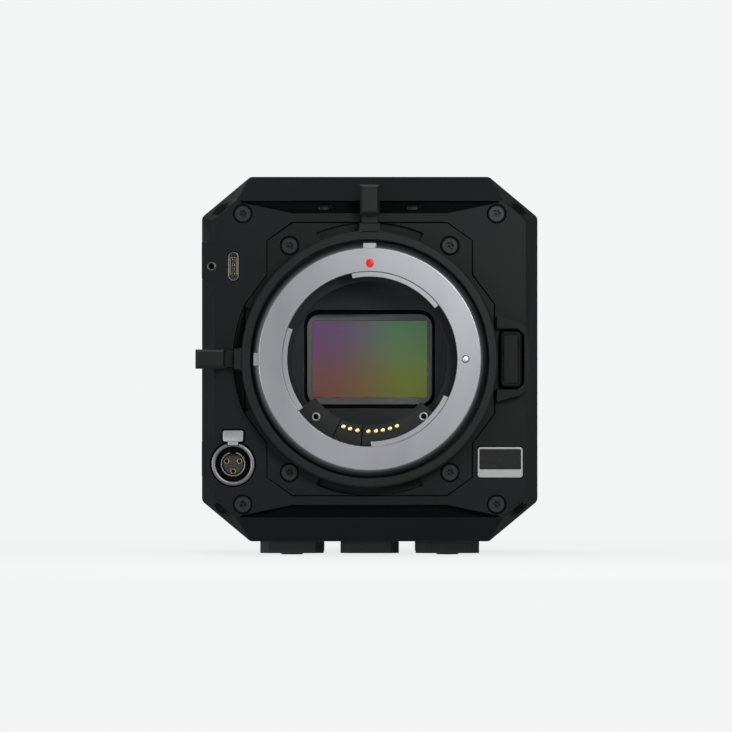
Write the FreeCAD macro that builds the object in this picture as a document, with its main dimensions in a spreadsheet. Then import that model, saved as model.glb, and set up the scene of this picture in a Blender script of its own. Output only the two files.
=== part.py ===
"""A box-style cinema camera with a bayonet lens mount, as an assembly of separate pieces.

Frame: the origin is where the optical axis meets the front face of the mount flange, +X is to the right
seen from the front, +Y runs back through the camera and +Z is up. All sizes are in millimetres.
"""
import FreeCAD, Part
import math
import os

import Sketcher

# Driving dimensions, in millimetres and degrees

SIZES = {
    # Body
    "side_strip": 12.34,
    "end_strip": 14.1,
    "face_setback": 7.0,
    "corner_run": 15.0,
    "corner_rise": 12.5,
    "rail_width": 15.5,
    "rail_height": 14.5,
    "corner_radius": 2.0,
    "wall": 4.0,
    "side_bevel": 3.6,
    "top_bevel": 7.5,
    "bevel_depth": 4.5,
    "face_corner_run": 7.1,
    "face_corner_rise": 6.3,
    "front_wall": 8.0,
    "front_cover_depth": 12.0,
    "rear_cover_depth": 10.0,
    "rear_bevel": 2.0,
    "post_radius": 5.0,
    "fit_gap": 0.2,
    "running_gap": 0.1,
    "moving_gap": 0.3,
    # Recesses above and below the mount
    "recess_side_inset": 12.0,
    "recess_end_inset": 11.3,
    "recess_corner_inset": 8.0,
    "recess_depth": 3.0,
    "mic_x": 13.8,
    "mic_end_inset": 9.4,
    "mic_slot_width": 4.4,
    "mic_slot_height": 1.6,
    "mic_radius": 2.4,
    "mic_length": 3.6,
    # Edge pads on the side bevel
    "edge_pad_above": 7.6,
    "edge_pad_below": 3.7,
    "edge_pad_slope": 3.6,
    "locking_hole_inset": 3.0,
    "locking_hole_radius": 0.9,
    "locking_hole_depth": 5.0,
    # Mount plate
    "plate_end_margin": 2.74,
    "plate_end_inset": 15.66,
    "plate_shoulder_inset": 7.76,
    "plate_shoulder_drop": 2.96,
    "plate_waist_drop": 13.66,
    "plate_side_inset": 0.96,
    "plate_side_drop": 22.66,
    "plate_thickness": 4.5,
    "plate_gap": 0.25,
    "boss_step": 0.77,
    "throat_relief": 0.6,
    "crescent_width": 2.64,
    "crescent_root_width": 0.7,
    "crescent_half_angle": 22.9,
    "crescent_depth": 2.2,
    # Lens flange
    "throat_radius": 27.0,
    "claw_reach": 1.5,
    "claw_front": 0.5,
    "claw_thickness": 1.5,
    "flange_face_width": 7.3,
    "flange_bevel_width": 1.97,
    "flange_bevel": 1.5,
    "flange_thickness": 4.0,
    "notch_width": 4.0,
    "notch_depth": 1.2,
    "index_radius": 1.25,
    "index_inset": 2.6,
    "index_depth": 0.5,
    "lock_pin_inset": 2.6,
    "lock_pin_radius": 1.0,
    "lock_pin_proud": 1.0,
    "lock_pin_length": 10.8,
    # Locking ring
    "ring_gap": 0.58,
    "ring_wall": 2.81,
    "ring_front": 0.6,
    "ring_edge": 0.4,
    "lug_root": 0.55,
    "lug_half_width": 3.95,
    "lug_tip_half_width": 3.25,
    "neck_half_width": 2.6,
    "lug_front": 1.0,
    "neck_front": 3.0,
    "neck_length": 2.3,
    "knob_length": 9.2,
    "knob_half_width": 3.0,
    "knob_front": 3.5,
    "knob_gap": 0.8,
    "knob_bevel": 0.9,
    # Release guard and button
    "guard_ring_lap": 0.46,
    "guard_shoulder_inset": 5.2,
    "guard_tip_inset": 2.5,
    "guard_half_height": 13.3,
    "guard_shoulder_z": 11.1,
    "guard_corner_z": 9.6,
    "guard_tip_z": 3.6,
    "guard_gap": 0.8,
    "guard_opening_corner": 2.0,
    "guard_proud": 4.5,
    "guard_sunk": 2.0,
    "button_ring_gap": 0.64,
    "button_side_inset": 5.0,
    "button_half_height": 8.6,
    "button_radius": 1.6,
    "button_proud": 5.0,
    "button_bevel": 0.5,
    "button_lip": 0.7,
    "button_lip_thickness": 1.6,
    # Screws
    "screw_side_inset": 12.7,
    "screw_end_inset": 11.5,
    "mount_screw_margin": 3.317,
    "mount_screw_angle": 54.757,
    "screw_head_radius": 2.8,
    "screw_head_height": 2.0,
    "screw_head_sunk": 0.2,
    "screw_shank_radius": 1.5,
    "screw_socket_radius": 1.15,
    "screw_socket_depth": 1.2,
    "face_screw_length": 16.0,
    "mount_screw_length": 5.5,
    "rear_screw_length": 16.0,
    "plate_screw_length": 4.5,
    "plate_screw_head_radius": 2.2,
    "plate_screw_shank_radius": 1.0,
    "plate_screw_head_height": 1.0,
    # Lens contacts
    "block_width": 6.4,
    "block_front": 6.0,
    "block_thickness": 4.5,
    "block_start_angle": 215.0,
    "block_sweep": 105.0,
    "block_step": 0.6,
    "pin_circle_inset": 4.6,
    "pin_radius": 0.75,
    "pin_proud": 0.6,
    "pin_gap": 0.15,
    "rivet_circle_inset": 2.6,
    "rivet_radius": 1.5,
    "rivet_hole_radius": 0.75,
    "rivet_length": 2.0,
    # Chamber and sensor
    "baffle_lip_width": 3.5,
    "baffle_seat_width": 2.4,
    "baffle_seat_thickness": 2.5,
    "baffle_lip_thickness": 1.0,
    "baffle_tube_step": 0.4,
    "baffle_tube_wall": 1.5,
    "chamber_setback": 9.0,
    "chamber_thickness": 3.0,
    "chamber_margin": 4.0,
    "window_width": 41.0,
    "window_height": 30.8,
    "window_radius": 4.7,
    "sensor_post_x": 33.0,
    "sensor_post_z": 20.0,
    "sensor_post_radius": 3.0,
    "holder_width": 56.0,
    "holder_height": 46.0,
    "holder_thickness": 5.0,
    "holder_opening_width": 39.0,
    "holder_opening_height": 28.2,
    "holder_opening_radius": 4.0,
    "holder_lip": 2.0,
    "filter_width": 42.6,
    "filter_height": 31.6,
    "filter_thickness": 1.2,
    "flange_distance": 44.0,
    "array_width": 36.0,
    "array_height": 24.0,
    "array_thickness": 0.4,
    "package_width": 42.0,
    "package_height": 31.0,
    "package_rim": 1.2,
    "package_thickness": 3.4,
    "sensor_board_margin": 1.0,
    "board_thickness": 1.6,
    "spreader_low": 18.0,
    "spreader_high": 24.0,
    "spreader_thickness": 4.0,
    "sink_fan_gap": 4.0,
    "sink_low": 12.0,
    "sink_base": 3.0,
    "fin_height": 16.0,
    "fin_root": 0.5,
    "fin_thickness": 1.2,
    "fin_pitch": 4.0,
    "fin_count": 13,
    # Cooling fan and its vent
    "fan_z": 20.0,
    "fan_size": 36.0,
    "fan_depth": 10.0,
    "fan_wall": 1.0,
    "fan_corner": 2.0,
    "fan_hub": 8.0,
    "fan_hub_step": 1.0,
    "blade_root": 0.5,
    "fan_blade_gap": 0.8,
    "fan_plate": 2.0,
    "fan_shaft_radius": 1.5,
    "fan_shaft_gap": 0.05,
    "spoke_width": 2.5,
    "blade_count": 7,
    "blade_thickness": 1.0,
    "blade_pitch_angle": 38.0,
    "blade_trim": 0.9,
    "vent_border": 1.0,
    "vent_ledge": 2.0,
    "vent_thickness": 2.0,
    "vent_slot_height": 2.0,
    "vent_slot_pitch": 3.8,
    "vent_slot_count": 8,
    # Media door and card reader
    "door_end_inset": 25.5,
    "door_length": 44.0,
    "door_height": 22.0,
    "door_thickness": 2.1,
    "door_pin_radius": 0.5,
    "door_pin_reach": 1.5,
    "door_groove_length": 12.0,
    "door_groove_width": 1.4,
    "door_groove_inset": 1.6,
    "door_groove_depth": 0.8,
    "door_opening_length": 33.0,
    "door_opening_height": 14.0,
    "reader_gap": 0.9,
    "reader_depth": 40.0,
    "reader_side_wall": 1.5,
    "reader_wall": 1.0,
    "card_width": 30.2,
    "card_slot_height": 4.4,
    "card_slot_pitch": 7.0,
    "card_slot_depth": 38.0,
    # Side, top and base plates
    "insert_depth": 2.0,
    "thread_wall": 5.5,
    "thread_floor": 1.0,
    "thread_depth": 8.0,
    "quarter_thread_radius": 3.175,
    "three_eighths_thread_radius": 4.7625,
    "side_plate_gap": 2.0,
    "side_plate_z": 18.0,
    "side_plate_length": 18.0,
    "side_plate_height": 40.0,
    "side_thread_pitch": 20.0,
    "top_plate_front_gap": 7.0,
    "top_plate_rear_gap": 6.0,
    "top_plate_width": 40.0,
    "top_screw_inset": 4.0,
    "plate_corner": 1.0,
    "top_thread_pitch": 20.0,
    "base_plate_front_gap": 3.0,
    "base_plate_rear_gap": 2.0,
    "base_plate_border": 1.9,
    "base_screw_inset": 8.0,
    "land_height": 3.9,
    "land_centre_half_width": 9.1,
    "land_inner_x": 14.35,
    "land_side_inset": 17.9,
    "land_end_inset": 2.0,
    "land_corner": 2.5,
    "base_thread_pitch": 20.0,
    "foot_radius": 3.5,
    "foot_proud": 0.4,
    "foot_sunk": 1.0,
    "foot_end_inset": 6.0,
    # Side screen and controls
    "screen_front_gap": 5.0,
    "screen_rear_gap": 4.0,
    "screen_end_inset": 41.5,
    "screen_height": 50.0,
    "screen_corner": 3.0,
    "bezel_thickness": 2.5,
    "bezel_border": 3.5,
    "glass_thickness": 1.2,
    "glass_sunk": 0.3,
    "glass_corner": 1.5,
    "control_end_inset": 32.5,
    "record_front_gap": 13.0,
    "record_radius": 5.5,
    "key_count": 4,
    "key_front_gap": 29.0,
    "key_rear_gap": 8.0,
    "key_length": 8.0,
    "key_height": 5.0,
    "key_corner": 1.4,
    "key_sunk": 0.2,
    "key_lip": 0.6,
    "switch_end_inset": 19.5,
    "switch_slot_height": 3.6,
    "switch_tail_lip": 1.0,
    "switch_length": 5.0,
    "switch_sunk": 0.3,
    "switch_travel": 5.0,
    # Sockets on the face
    "usb_side_inset": 9.8,
    "usb_end_inset": 27.8,
    "usb_width": 3.3,
    "usb_height": 8.9,
    "usb_wall": 0.35,
    "usb_depth": 7.0,
    "usb_tongue_width": 0.8,
    "usb_tongue_height": 6.5,
    "usb_tongue_sunk": 1.0,
    "usb_back_wall": 1.0,
    "usb_end_round": 0.96,
    "xlr_side_inset": 9.7,
    "xlr_end_inset": 24.0,
    "xlr_bore_radius": 7.1,
    "xlr_radius": 6.7,
    "xlr_inner_radius": 5.5,
    "xlr_ring_radius": 3.9,
    "xlr_core_radius": 3.6,
    "xlr_length": 10.4,
    "xlr_floor": 2.0,
    "xlr_proud": 0.4,
    "xlr_core_sunk": 1.0,
    "xlr_contact_radius": 0.85,
    "xlr_contact_circle": 2.2,
    "xlr_contact_hole": 0.45,
    "latch_width": 6.4,
    "latch_height": 3.5,
    "latch_offset": 8.7,
    "latch_corner": 0.6,
    "latch_proud": 1.2,
    "latch_depth": 3.2,
    "latch_travel": 1.2,
    "badge_side_inset": 4.6,
    "badge_end_inset": 19.8,
    "badge_width": 14.0,
    "badge_height": 9.5,
    "badge_thickness": 0.6,
    "badge_sunk": 0.4,
    "badge_corner": 0.9,
    # Main board and rear panel
    "board_space": 13.5,
    "socket_space": 10.9,
    "board_side_gap": 5.0,
    "board_end_gap": 14.5,
    "board_corner": 2.0,
    "board_leg_side_inset": 5.0,
    "board_leg_end_inset": 4.0,
    "column_side_inset": 14.5,
    "bnc_z": 21.0,
    "bnc_radius": 4.8,
    "bnc_nut_radius": 7.0,
    "bnc_nut_thickness": 1.5,
    "bnc_length": 8.5,
    "bnc_bore": 3.6,
    "bnc_pin_radius": 0.7,
    "bnc_pin_sunk": 2.0,
    "bnc_lug_radius": 0.9,
    "bnc_lug_inset": 3.0,
    "bnc_lug_reach": 1.0,
    "network_z": -3.0,
    "network_width": 15.0,
    "network_height": 13.4,
    "network_opening_width": 11.8,
    "network_opening_height": 8.0,
    "network_depth": 11.0,
    "rear_usb_z": -20.0,
    "dc_z": -10.0,
    "dc_radius": 6.0,
    "dc_core_radius": 4.2,
    "dc_depth": 6.0,
    "dc_proud": 1.0,
    "dc_pin_radius": 0.8,
    "dc_pin_offset": 1.6,
    "jack_high_z": 22.0,
    "jack_low_z": 9.0,
    "jack_radius": 4.0,
    "jack_bore": 1.75,
    "jack_depth": 13.0,
    # Battery plate
    "battery_low_inset": 20.5,
    "battery_high_inset": 14.5,
    "battery_width": 48.0,
    "battery_corner": 2.0,
    "battery_mouth": 12.0,
    "battery_floor": 2.5,
    "battery_rail": 3.2,
    "battery_rail_height": 6.5,
    "battery_lip": 1.6,
    "battery_lip_thickness": 1.8,
    "battery_latch_width": 10.0,
    "battery_latch_height": 6.0,
    "battery_latch_inset": 6.0,
    "battery_latch_travel": 2.4,
    "battery_latch_root": 3.0,
    "battery_latch_lip": 1.0,
    "battery_latch_ramp": 0.8,
    "blade_width": 1.0,
    "blade_height": 6.0,
    "blade_proud": 2.4,
    "blade_spacing": 4.0,
    "contact_blade_count": 5,
    "contact_blade_inset": 8.0,
}

CLAW_GAPS = [(102.0, 56.6), (216.0, 55.4), (334.3, 63.7)]
PIN_ANGLES = [248.8, 254.3, 260.3, 269.0, 275.0, 280.5, 286.3, 292.2]
RIVET_ANGLES = [227.0, 313.3]
SLOT_ANGLES = [244.5, 264.3]
LEVER_ANGLES = [90.0, 180.0]
CRESCENT_ANGLES = [90.0, 180.0, 270.0]
XLR_ANGLES = [25.0, 155.0, 270.0]


doc = FreeCAD.newDocument("Camera")
PARTS = []


class Size:
    """A length or an angle that knows its number and the sheet formula that it comes from."""

    def __init__(self, value, formula):
        self.value = value
        self.formula = formula

    def join(self, other, sign, value):
        return Size(value, f"({self.formula} {sign} {other.formula})")

    def __add__(self, other):
        other = as_size(other)
        return self.join(other, "+", self.value + other.value)

    def __radd__(self, other):
        return as_size(other) + self

    def __sub__(self, other):
        other = as_size(other)
        return self.join(other, "-", self.value - other.value)

    def __rsub__(self, other):
        return as_size(other) - self

    def __mul__(self, other):
        other = as_size(other)
        return self.join(other, "*", self.value * other.value)

    def __rmul__(self, other):
        return as_size(other) * self

    def __truediv__(self, other):
        other = as_size(other)
        return self.join(other, "/", self.value / other.value)

    def __neg__(self):
        return self * -1.0

    def root(self):
        return Size(math.sqrt(self.value), f"sqrt({self.formula})")


def as_size(number):
    if isinstance(number, Size):
        return number
    return Size(float(number), repr(float(number)))


def cosine(angle):
    angle = as_size(angle)
    return Size(math.cos(math.radians(angle.value)), f"cos({angle.formula})")


def sine(angle):
    angle = as_size(angle)
    return Size(math.sin(math.radians(angle.value)), f"sin({angle.formula})")


class Sheet:
    """The spreadsheet of driving dimensions. Each is read as an attribute."""

    def __init__(self, sizes):
        self.sizes = sizes
        sheet = doc.addObject("Spreadsheet::Sheet", "Sizes")
        for row, (name, value) in enumerate(sizes.items(), start=1):
            sheet.set(f"A{row}", name)
            sheet.set(f"B{row}", str(value))
            sheet.setAlias(f"B{row}", name)
        doc.recompute()

    def __getattr__(self, name):
        return Size(float(self.sizes[name]), f"Sizes.{name}")


S = Sheet(SIZES)


# Working helpers

TURN_TO = {
    "x": FreeCAD.Rotation(FreeCAD.Vector(0, 1, 0), 90),
    "y": FreeCAD.Rotation(FreeCAD.Vector(1, 0, 0), -90),
    "z": FreeCAD.Rotation(),
}
PLANES = {"x": "YZ_Plane", "y": "XZ_Plane", "z": "XY_Plane"}


def bind(thing, name, size):
    thing.setExpression(name, as_size(size).formula)


def place(thing, x, y, z, rotation=FreeCAD.Rotation()):
    thing.Placement = FreeCAD.Placement(FreeCAD.Vector(), rotation)
    bind(thing, "Placement.Base.x", x)
    bind(thing, "Placement.Base.y", y)
    bind(thing, "Placement.Base.z", z)


def publish(thing, node):
    thing.Label = node
    PARTS.append(thing)
    return thing


def block(x, y, z, name="block"):
    """A box between two X, two Y and two Z values."""
    box = doc.addObject("Part::Box", name)
    bind(box, "Length", as_size(x[1]) - x[0])
    bind(box, "Width", as_size(y[1]) - y[0])
    bind(box, "Height", as_size(z[1]) - z[0])
    place(box, x[0], y[0], z[0])
    return box


def rod(axis, first, second, radius, start, end, name="rod"):
    """A cylinder along an axis, between two places on it; first and second are its centre across."""
    cylinder = doc.addObject("Part::Cylinder", name)
    bind(cylinder, "Radius", radius)
    bind(cylinder, "Height", as_size(end) - start)
    centre = {"x": (start, first, second), "y": (first, start, second), "z": (first, second, start)}[axis]
    place(cylinder, *centre, rotation=TURN_TO[axis])
    return cylinder


def wedge(radius, front, back, start_angle, sweep, name="wedge"):
    """A pie slice round the optical axis. Angles run anticlockwise from +X, seen from the front."""
    cylinder = doc.addObject("Part::Cylinder", name)
    bind(cylinder, "Radius", radius)
    bind(cylinder, "Height", as_size(back) - front)
    bind(cylinder, "Angle", sweep)
    facing = FreeCAD.Rotation(FreeCAD.Vector(1, 0, 0), 90)
    turned = FreeCAD.Rotation(FreeCAD.Vector(0, 0, 1), as_size(start_angle).value)
    place(cylinder, 0, back, 0, rotation=facing.multiply(turned))
    return cylinder


def join(things, name="joined"):
    fusion = doc.addObject("Part::MultiFuse", name)
    fusion.Shapes = things
    fusion.Refine = True
    return fusion


def group(things, name="group"):
    compound = doc.addObject("Part::Compound", name)
    compound.Links = things
    return compound


def cut(base, tools, name="cut"):
    """The base with every tool taken away."""
    cutter = tools[0] if len(tools) == 1 else join(tools, name + "_tools")
    result = doc.addObject("Part::Cut", name)
    result.Base = base
    result.Tool = cutter
    return result


def common(first, second, name="common"):
    """What two bodies share."""
    result = doc.addObject("Part::Common", name)
    result.Base = first
    result.Tool = second
    return result


def origin_plane(body, axis):
    return next(item for item in body.Origin.OriginFeatures if item.Role == PLANES[axis])


def sketch_on(body, axis, level, name):
    """An empty sketch across an axis, at a level along it."""
    sketch = body.newObject("Sketcher::SketchObject", name)
    sketch.AttachmentSupport = (origin_plane(body, axis), [""])
    sketch.MapMode = "FlatFace"
    normal_sign = -1.0 if axis == "y" else 1.0
    bind(sketch, "AttachmentOffset.Base.z", as_size(level) * normal_sign)
    return sketch


def draw_outline(sketch, points):
    """A closed outline of straight lines whose corners are bound to the sheet."""
    corners = [(as_size(x), as_size(y)) for x, y in points]
    count = len(corners)
    for index, (x, y) in enumerate(corners):
        next_x, next_y = corners[(index + 1) % count]
        line = Part.LineSegment(
            FreeCAD.Vector(x.value, y.value, 0), FreeCAD.Vector(next_x.value, next_y.value, 0)
        )
        sketch.addGeometry(line, False)
    for index, (x, y) in enumerate(corners):
        sketch.addConstraint(Sketcher.Constraint("Coincident", index, 2, (index + 1) % count, 1))
        for kind, size in (("DistanceX", x), ("DistanceY", y)):
            place_in_list = sketch.addConstraint(Sketcher.Constraint(kind, -1, 1, index, 1, size.value))
            sketch.setExpression(f"Constraints[{place_in_list}]", size.formula)
    return sketch


def new_body(name):
    return doc.addObject("PartDesign::Body", name)


def pad_outline(body, axis, points, start, end, name="pad"):
    """An outline across an axis, padded between two levels along it."""
    sketch = draw_outline(sketch_on(body, axis, start, name + "_outline"), points)
    pad = body.newObject("PartDesign::Pad", name)
    pad.Profile = sketch
    pad.Reversed = axis == "y"
    bind(pad, "Length", as_size(end) - start)
    return pad


def edges_along(shape, axis, keep=None):
    """Names of the straight edges of a shape that run along an axis."""
    direction = {"x": 0, "y": 1, "z": 2}[axis]
    names = []
    for index, edge in enumerate(shape.Edges, start=1):
        if not isinstance(edge.Curve, Part.Line):
            continue
        if abs(edge.Curve.Direction[direction]) < 0.999:
            continue
        if keep is None or keep(edge.CenterOfMass):
            names.append(f"Edge{index}")
    return names


def edges_where(shape, keep):
    """Names of the edges whose middle passes a test."""
    return [f"Edge{index}" for index, edge in enumerate(shape.Edges, start=1) if keep(edge.CenterOfMass)]


def round_edges(body, feature, edge_names, radius, name="rounding"):
    fillet = body.newObject("PartDesign::Fillet", name)
    fillet.Base = (feature, edge_names)
    bind(fillet, "Radius", radius)
    return fillet


def bevel_edges(body, feature, edge_names, size, name="bevel"):
    chamfer = body.newObject("PartDesign::Chamfer", name)
    chamfer.Base = (feature, edge_names)
    bind(chamfer, "Size", size)
    return chamfer


def prism(axis, points, start, end, radius=None, name="prism"):
    """A straight-sided solid from an outline, its long corners rounded if a radius is given."""
    body = new_body(name)
    pad = pad_outline(body, axis, points, start, end, name + "_pad")
    if radius is not None:
        doc.recompute()
        round_edges(body, pad, edges_along(pad.Shape, axis), radius, name + "_rounding")
    return body


def rectangle(low_x, high_x, low_y, high_y):
    return [(low_x, low_y), (high_x, low_y), (high_x, high_y), (low_x, high_y)]


def centred(x, y, width, height):
    width = as_size(width)
    height = as_size(height)
    return rectangle(x - width / 2, x + width / 2, y - height / 2, y + height / 2)


def turned(points, name="turned"):
    """A solid of revolution round the optical axis, from an outline of radius and Y."""
    body = new_body(name)
    sketch = sketch_on(body, "z", 0, name + "_section")
    draw_outline(sketch, points)
    revolution = body.newObject("PartDesign::Revolution", name + "_turn")
    revolution.Profile = sketch
    revolution.ReferenceAxis = (sketch, ["V_Axis"])
    revolution.Angle = 360
    return body


def octagon(half_width, half_height, run, rise, inset=0):
    """The body's eight-sided outline, moved in by an even wall."""
    slope = (run * run + rise * rise).root()
    shorter = as_size(inset) * (run + rise - slope)
    inner_run = run - shorter / rise
    inner_rise = rise - shorter / run
    width = half_width - inset
    height = half_height - inset
    return [
        (-width, inner_rise - height),
        (inner_run - width, -height),
        (width - inner_run, -height),
        (width, inner_rise - height),
        (width, height - inner_rise),
        (width - inner_run, height),
        (inner_run - width, height),
        (-width, height - inner_rise),
    ]


def four_corners(x, z):
    return [(-x, -z), (x, -z), (x, z), (-x, z)]


def at_angle(radius, angle):
    """A point on a circle round the optical axis, seen from the front."""
    return radius * cosine(angle), radius * sine(angle)


# How far a cutting tool runs past what it cuts, how round a slot's ends are, and how near counts as the same

OVER = 1
END_ROUND = 0.98
CLOSE = 0.01


# Places that several pieces share

FLANGE_FACE_RADIUS = S.throat_radius + S.flange_face_width
FLANGE_RADIUS = FLANGE_FACE_RADIUS + S.flange_bevel_width
CLAW_RADIUS = S.throat_radius - S.claw_reach
BOSS_RADIUS = FLANGE_RADIUS - S.boss_step
RING_INNER_RADIUS = FLANGE_RADIUS + S.ring_gap
RING_RADIUS = RING_INNER_RADIUS + S.ring_wall
CRESCENT_RADIUS = RING_RADIUS + S.crescent_width
CRESCENT_ROOT_RADIUS = BOSS_RADIUS + S.crescent_root_width
KNOB_START = CRESCENT_RADIUS + S.neck_length
KNOB_END = KNOB_START + S.knob_length
THROAT_BORE = S.throat_radius + S.throat_relief
PIN_CIRCLE = S.throat_radius - S.pin_circle_inset
RIVET_CIRCLE = S.throat_radius - S.rivet_circle_inset
INDEX_Z = S.throat_radius + S.index_inset
LOCK_PIN_X = S.throat_radius + S.lock_pin_inset

PLATE_HALF_HEIGHT = RING_RADIUS + S.plate_end_margin
PLATE_END_HALF_WIDTH = RING_RADIUS - S.plate_end_inset
HALF_WIDTH = RING_RADIUS + S.side_strip
HALF_HEIGHT = PLATE_HALF_HEIGHT + S.end_strip
INNER_X = HALF_WIDTH - S.wall

FACE_Y = S.face_setback
BEVEL_Y = FACE_Y + S.bevel_depth
WALL_Y = FACE_Y + S.front_wall
COVER_Y = FACE_Y + S.front_cover_depth
PLATE_Y = FACE_Y + S.plate_thickness
CHAMBER_Y = S.flange_distance - S.chamber_setback
HOLDER_Y = CHAMBER_Y + S.chamber_thickness
SENSOR_BACK_Y = S.flange_distance + S.package_thickness
SPREADER_Y = SENSOR_BACK_Y + S.board_thickness
SINK_Y = SPREADER_Y + S.spreader_thickness
FIN_ROOT_Y = SINK_Y + S.sink_base
FIN_END_Y = FIN_ROOT_Y + S.fin_height
BOARD_Y = FIN_END_Y + S.board_space
BOARD_BACK_Y = BOARD_Y + S.board_thickness
REAR_WALL_Y = BOARD_BACK_Y + S.socket_space
REAR_Y = REAR_WALL_Y + S.wall
HOUSING_END_Y = REAR_Y - S.rear_cover_depth

CHAMBER_HALF_WIDTH = S.sensor_post_x + S.sensor_post_radius
BAFFLE_SEAT_RADIUS = THROAT_BORE + S.baffle_seat_width
BAFFLE_TUBE_RADIUS = THROAT_BORE + S.baffle_tube_step
FAN_Y = FIN_ROOT_Y + S.fin_height / 2
FAN_BORE = S.fan_size / 2 - S.fan_wall
VENT_SIZE = S.fan_size + S.vent_border * 2
READER_HALF_LENGTH = S.card_width / 2 + S.reader_side_wall
DOOR_Y = SPREADER_Y + S.reader_gap + READER_HALF_LENGTH
DOOR_Z = S.door_end_inset - HALF_HEIGHT
SIDE_PLATE_Y = COVER_Y + S.side_plate_gap + S.side_plate_length / 2
TOP_PLATE_START = COVER_Y + S.top_plate_front_gap
TOP_PLATE_END = HOUSING_END_Y - S.top_plate_rear_gap
TOP_PLATE_Y = (TOP_PLATE_START + TOP_PLATE_END) / 2
TOP_PLATE_LENGTH = TOP_PLATE_END - TOP_PLATE_START
LAND_OUTER_X = HALF_WIDTH - S.land_side_inset
LAND_X = (S.land_inner_x + LAND_OUTER_X) / 2
BASE_PLATE_START = COVER_Y + S.base_plate_front_gap
BASE_PLATE_END = HOUSING_END_Y - S.base_plate_rear_gap
BASE_PLATE_Y = (BASE_PLATE_START + BASE_PLATE_END) / 2
BASE_PLATE_LENGTH = BASE_PLATE_END - BASE_PLATE_START
BASE_PLATE_WIDTH = (LAND_OUTER_X + S.base_plate_border) * 2
SCREEN_START = COVER_Y + S.screen_front_gap
SCREEN_END = HOUSING_END_Y - S.screen_rear_gap
SCREEN_Y = (SCREEN_START + SCREEN_END) / 2
SCREEN_Z = HALF_HEIGHT - S.screen_end_inset
SCREEN_LENGTH = SCREEN_END - SCREEN_START
CONTROL_Z = S.control_end_inset - HALF_HEIGHT
RECORD_Y = COVER_Y + S.record_front_gap
SWITCH_Z = S.switch_end_inset - HALF_HEIGHT
SWITCH_SLOT_LENGTH = S.switch_length + S.switch_travel + S.moving_gap * 2

BUTTON_LOW_X = RING_RADIUS + S.button_ring_gap
BUTTON_HIGH_X = HALF_WIDTH - S.button_side_inset
GUARD_Y = FACE_Y - S.guard_proud
BUTTON_Y = FACE_Y - S.button_proud
USB_X = S.usb_side_inset - HALF_WIDTH
USB_Z = HALF_HEIGHT - S.usb_end_inset
XLR_X = S.xlr_side_inset - HALF_WIDTH
XLR_Z = S.xlr_end_inset - HALF_HEIGHT
XLR_Y = FACE_Y - S.xlr_proud
XLR_END_Y = XLR_Y + S.xlr_length
LATCH_Z = XLR_Z + S.latch_offset
LATCH_Y = FACE_Y - S.latch_proud
BADGE_HIGH_X = HALF_WIDTH - S.badge_side_inset
BADGE_LOW_Z = S.badge_end_inset - HALF_HEIGHT
MIC_Z = HALF_HEIGHT - S.mic_end_inset

BOARD_HALF_WIDTH = INNER_X - S.board_side_gap
BOARD_HALF_HEIGHT = HALF_HEIGHT - S.wall - S.board_end_gap
COLUMN_X = HALF_WIDTH - S.column_side_inset
BATTERY_LOW = S.battery_low_inset - HALF_HEIGHT
BATTERY_HIGH = HALF_HEIGHT - S.battery_high_inset
BATTERY_FLOOR_Y = REAR_Y + S.battery_floor
BATTERY_LATCH_Z = BATTERY_HIGH - S.battery_latch_inset
CONTACT_BLADE_Z = BATTERY_LOW + S.contact_blade_inset

OUTER_OUTLINE = octagon(HALF_WIDTH, HALF_HEIGHT, S.corner_run, S.corner_rise)
INNER_OUTLINE = octagon(HALF_WIDTH, HALF_HEIGHT, S.corner_run, S.corner_rise, S.wall)
FACE_OUTLINE = octagon(
    HALF_WIDTH - S.side_bevel, HALF_HEIGHT - S.top_bevel, S.face_corner_run, S.face_corner_rise
)


def plate_outline(inset=0):
    """The mount plate's outline, moved in by the groove round it."""
    end_x = PLATE_END_HALF_WIDTH - inset / 2
    shoulder_x = RING_RADIUS - S.plate_shoulder_inset - inset
    side_x = RING_RADIUS - S.plate_side_inset - inset
    upper_right = [
        (side_x, RING_RADIUS - S.plate_side_drop),
        (shoulder_x, RING_RADIUS - S.plate_waist_drop),
        (shoulder_x, RING_RADIUS - S.plate_shoulder_drop),
        (end_x, PLATE_HALF_HEIGHT - inset),
    ]
    upper_left = [(-x, z) for x, z in reversed(upper_right)]
    lower_left = [(-x, -z) for x, z in upper_right]
    lower_right = [(x, -z) for x, z in reversed(upper_right)]
    return upper_right + upper_left + lower_left + lower_right


def crescents(front):
    """The three sweeps cut round the ring for its levers."""
    sweeps = [
        wedge(CRESCENT_RADIUS, front, FACE_Y + S.crescent_depth, angle - S.crescent_half_angle.value,
              S.crescent_half_angle * 2, "crescent")
        for angle in CRESCENT_ANGLES
    ]
    core = rod("y", 0, 0, CRESCENT_ROOT_RADIUS, front - OVER, FACE_Y + S.crescent_depth + OVER,
               "crescent_core")
    return cut(join(sweeps, "crescent_slices"), [core], "crescents")


def screw_set(node, axis, places, under_head, length, head_radius, head_height, shank_radius, facing):
    """A group of alike screws. Facing is -1 where the head points down the axis."""
    screws = []
    for first, second in places:
        head_end = under_head + as_size(head_height) * facing
        tip = under_head - as_size(length) * facing
        low_head, high_head = (head_end, under_head) if facing < 0 else (under_head, head_end)
        low_shank, high_shank = (under_head, tip) if facing < 0 else (tip, under_head)
        socket_floor = head_end - S.screw_socket_depth * facing * (head_height / S.screw_head_height)
        low_socket, high_socket = (head_end, socket_floor) if facing < 0 else (socket_floor, head_end)
        solid = join([
            rod(axis, first, second, head_radius, low_head, high_head, "head"),
            rod(axis, first, second, shank_radius, low_shank, high_shank, "shank"),
        ], "screw_blank")
        socket_radius = S.screw_socket_radius * head_radius / S.screw_head_radius
        socket = rod(axis, first, second, socket_radius, low_socket, high_socket, "socket")
        screws.append(cut(solid, [socket], "screw"))
    return publish(group(screws, node), node)


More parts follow.
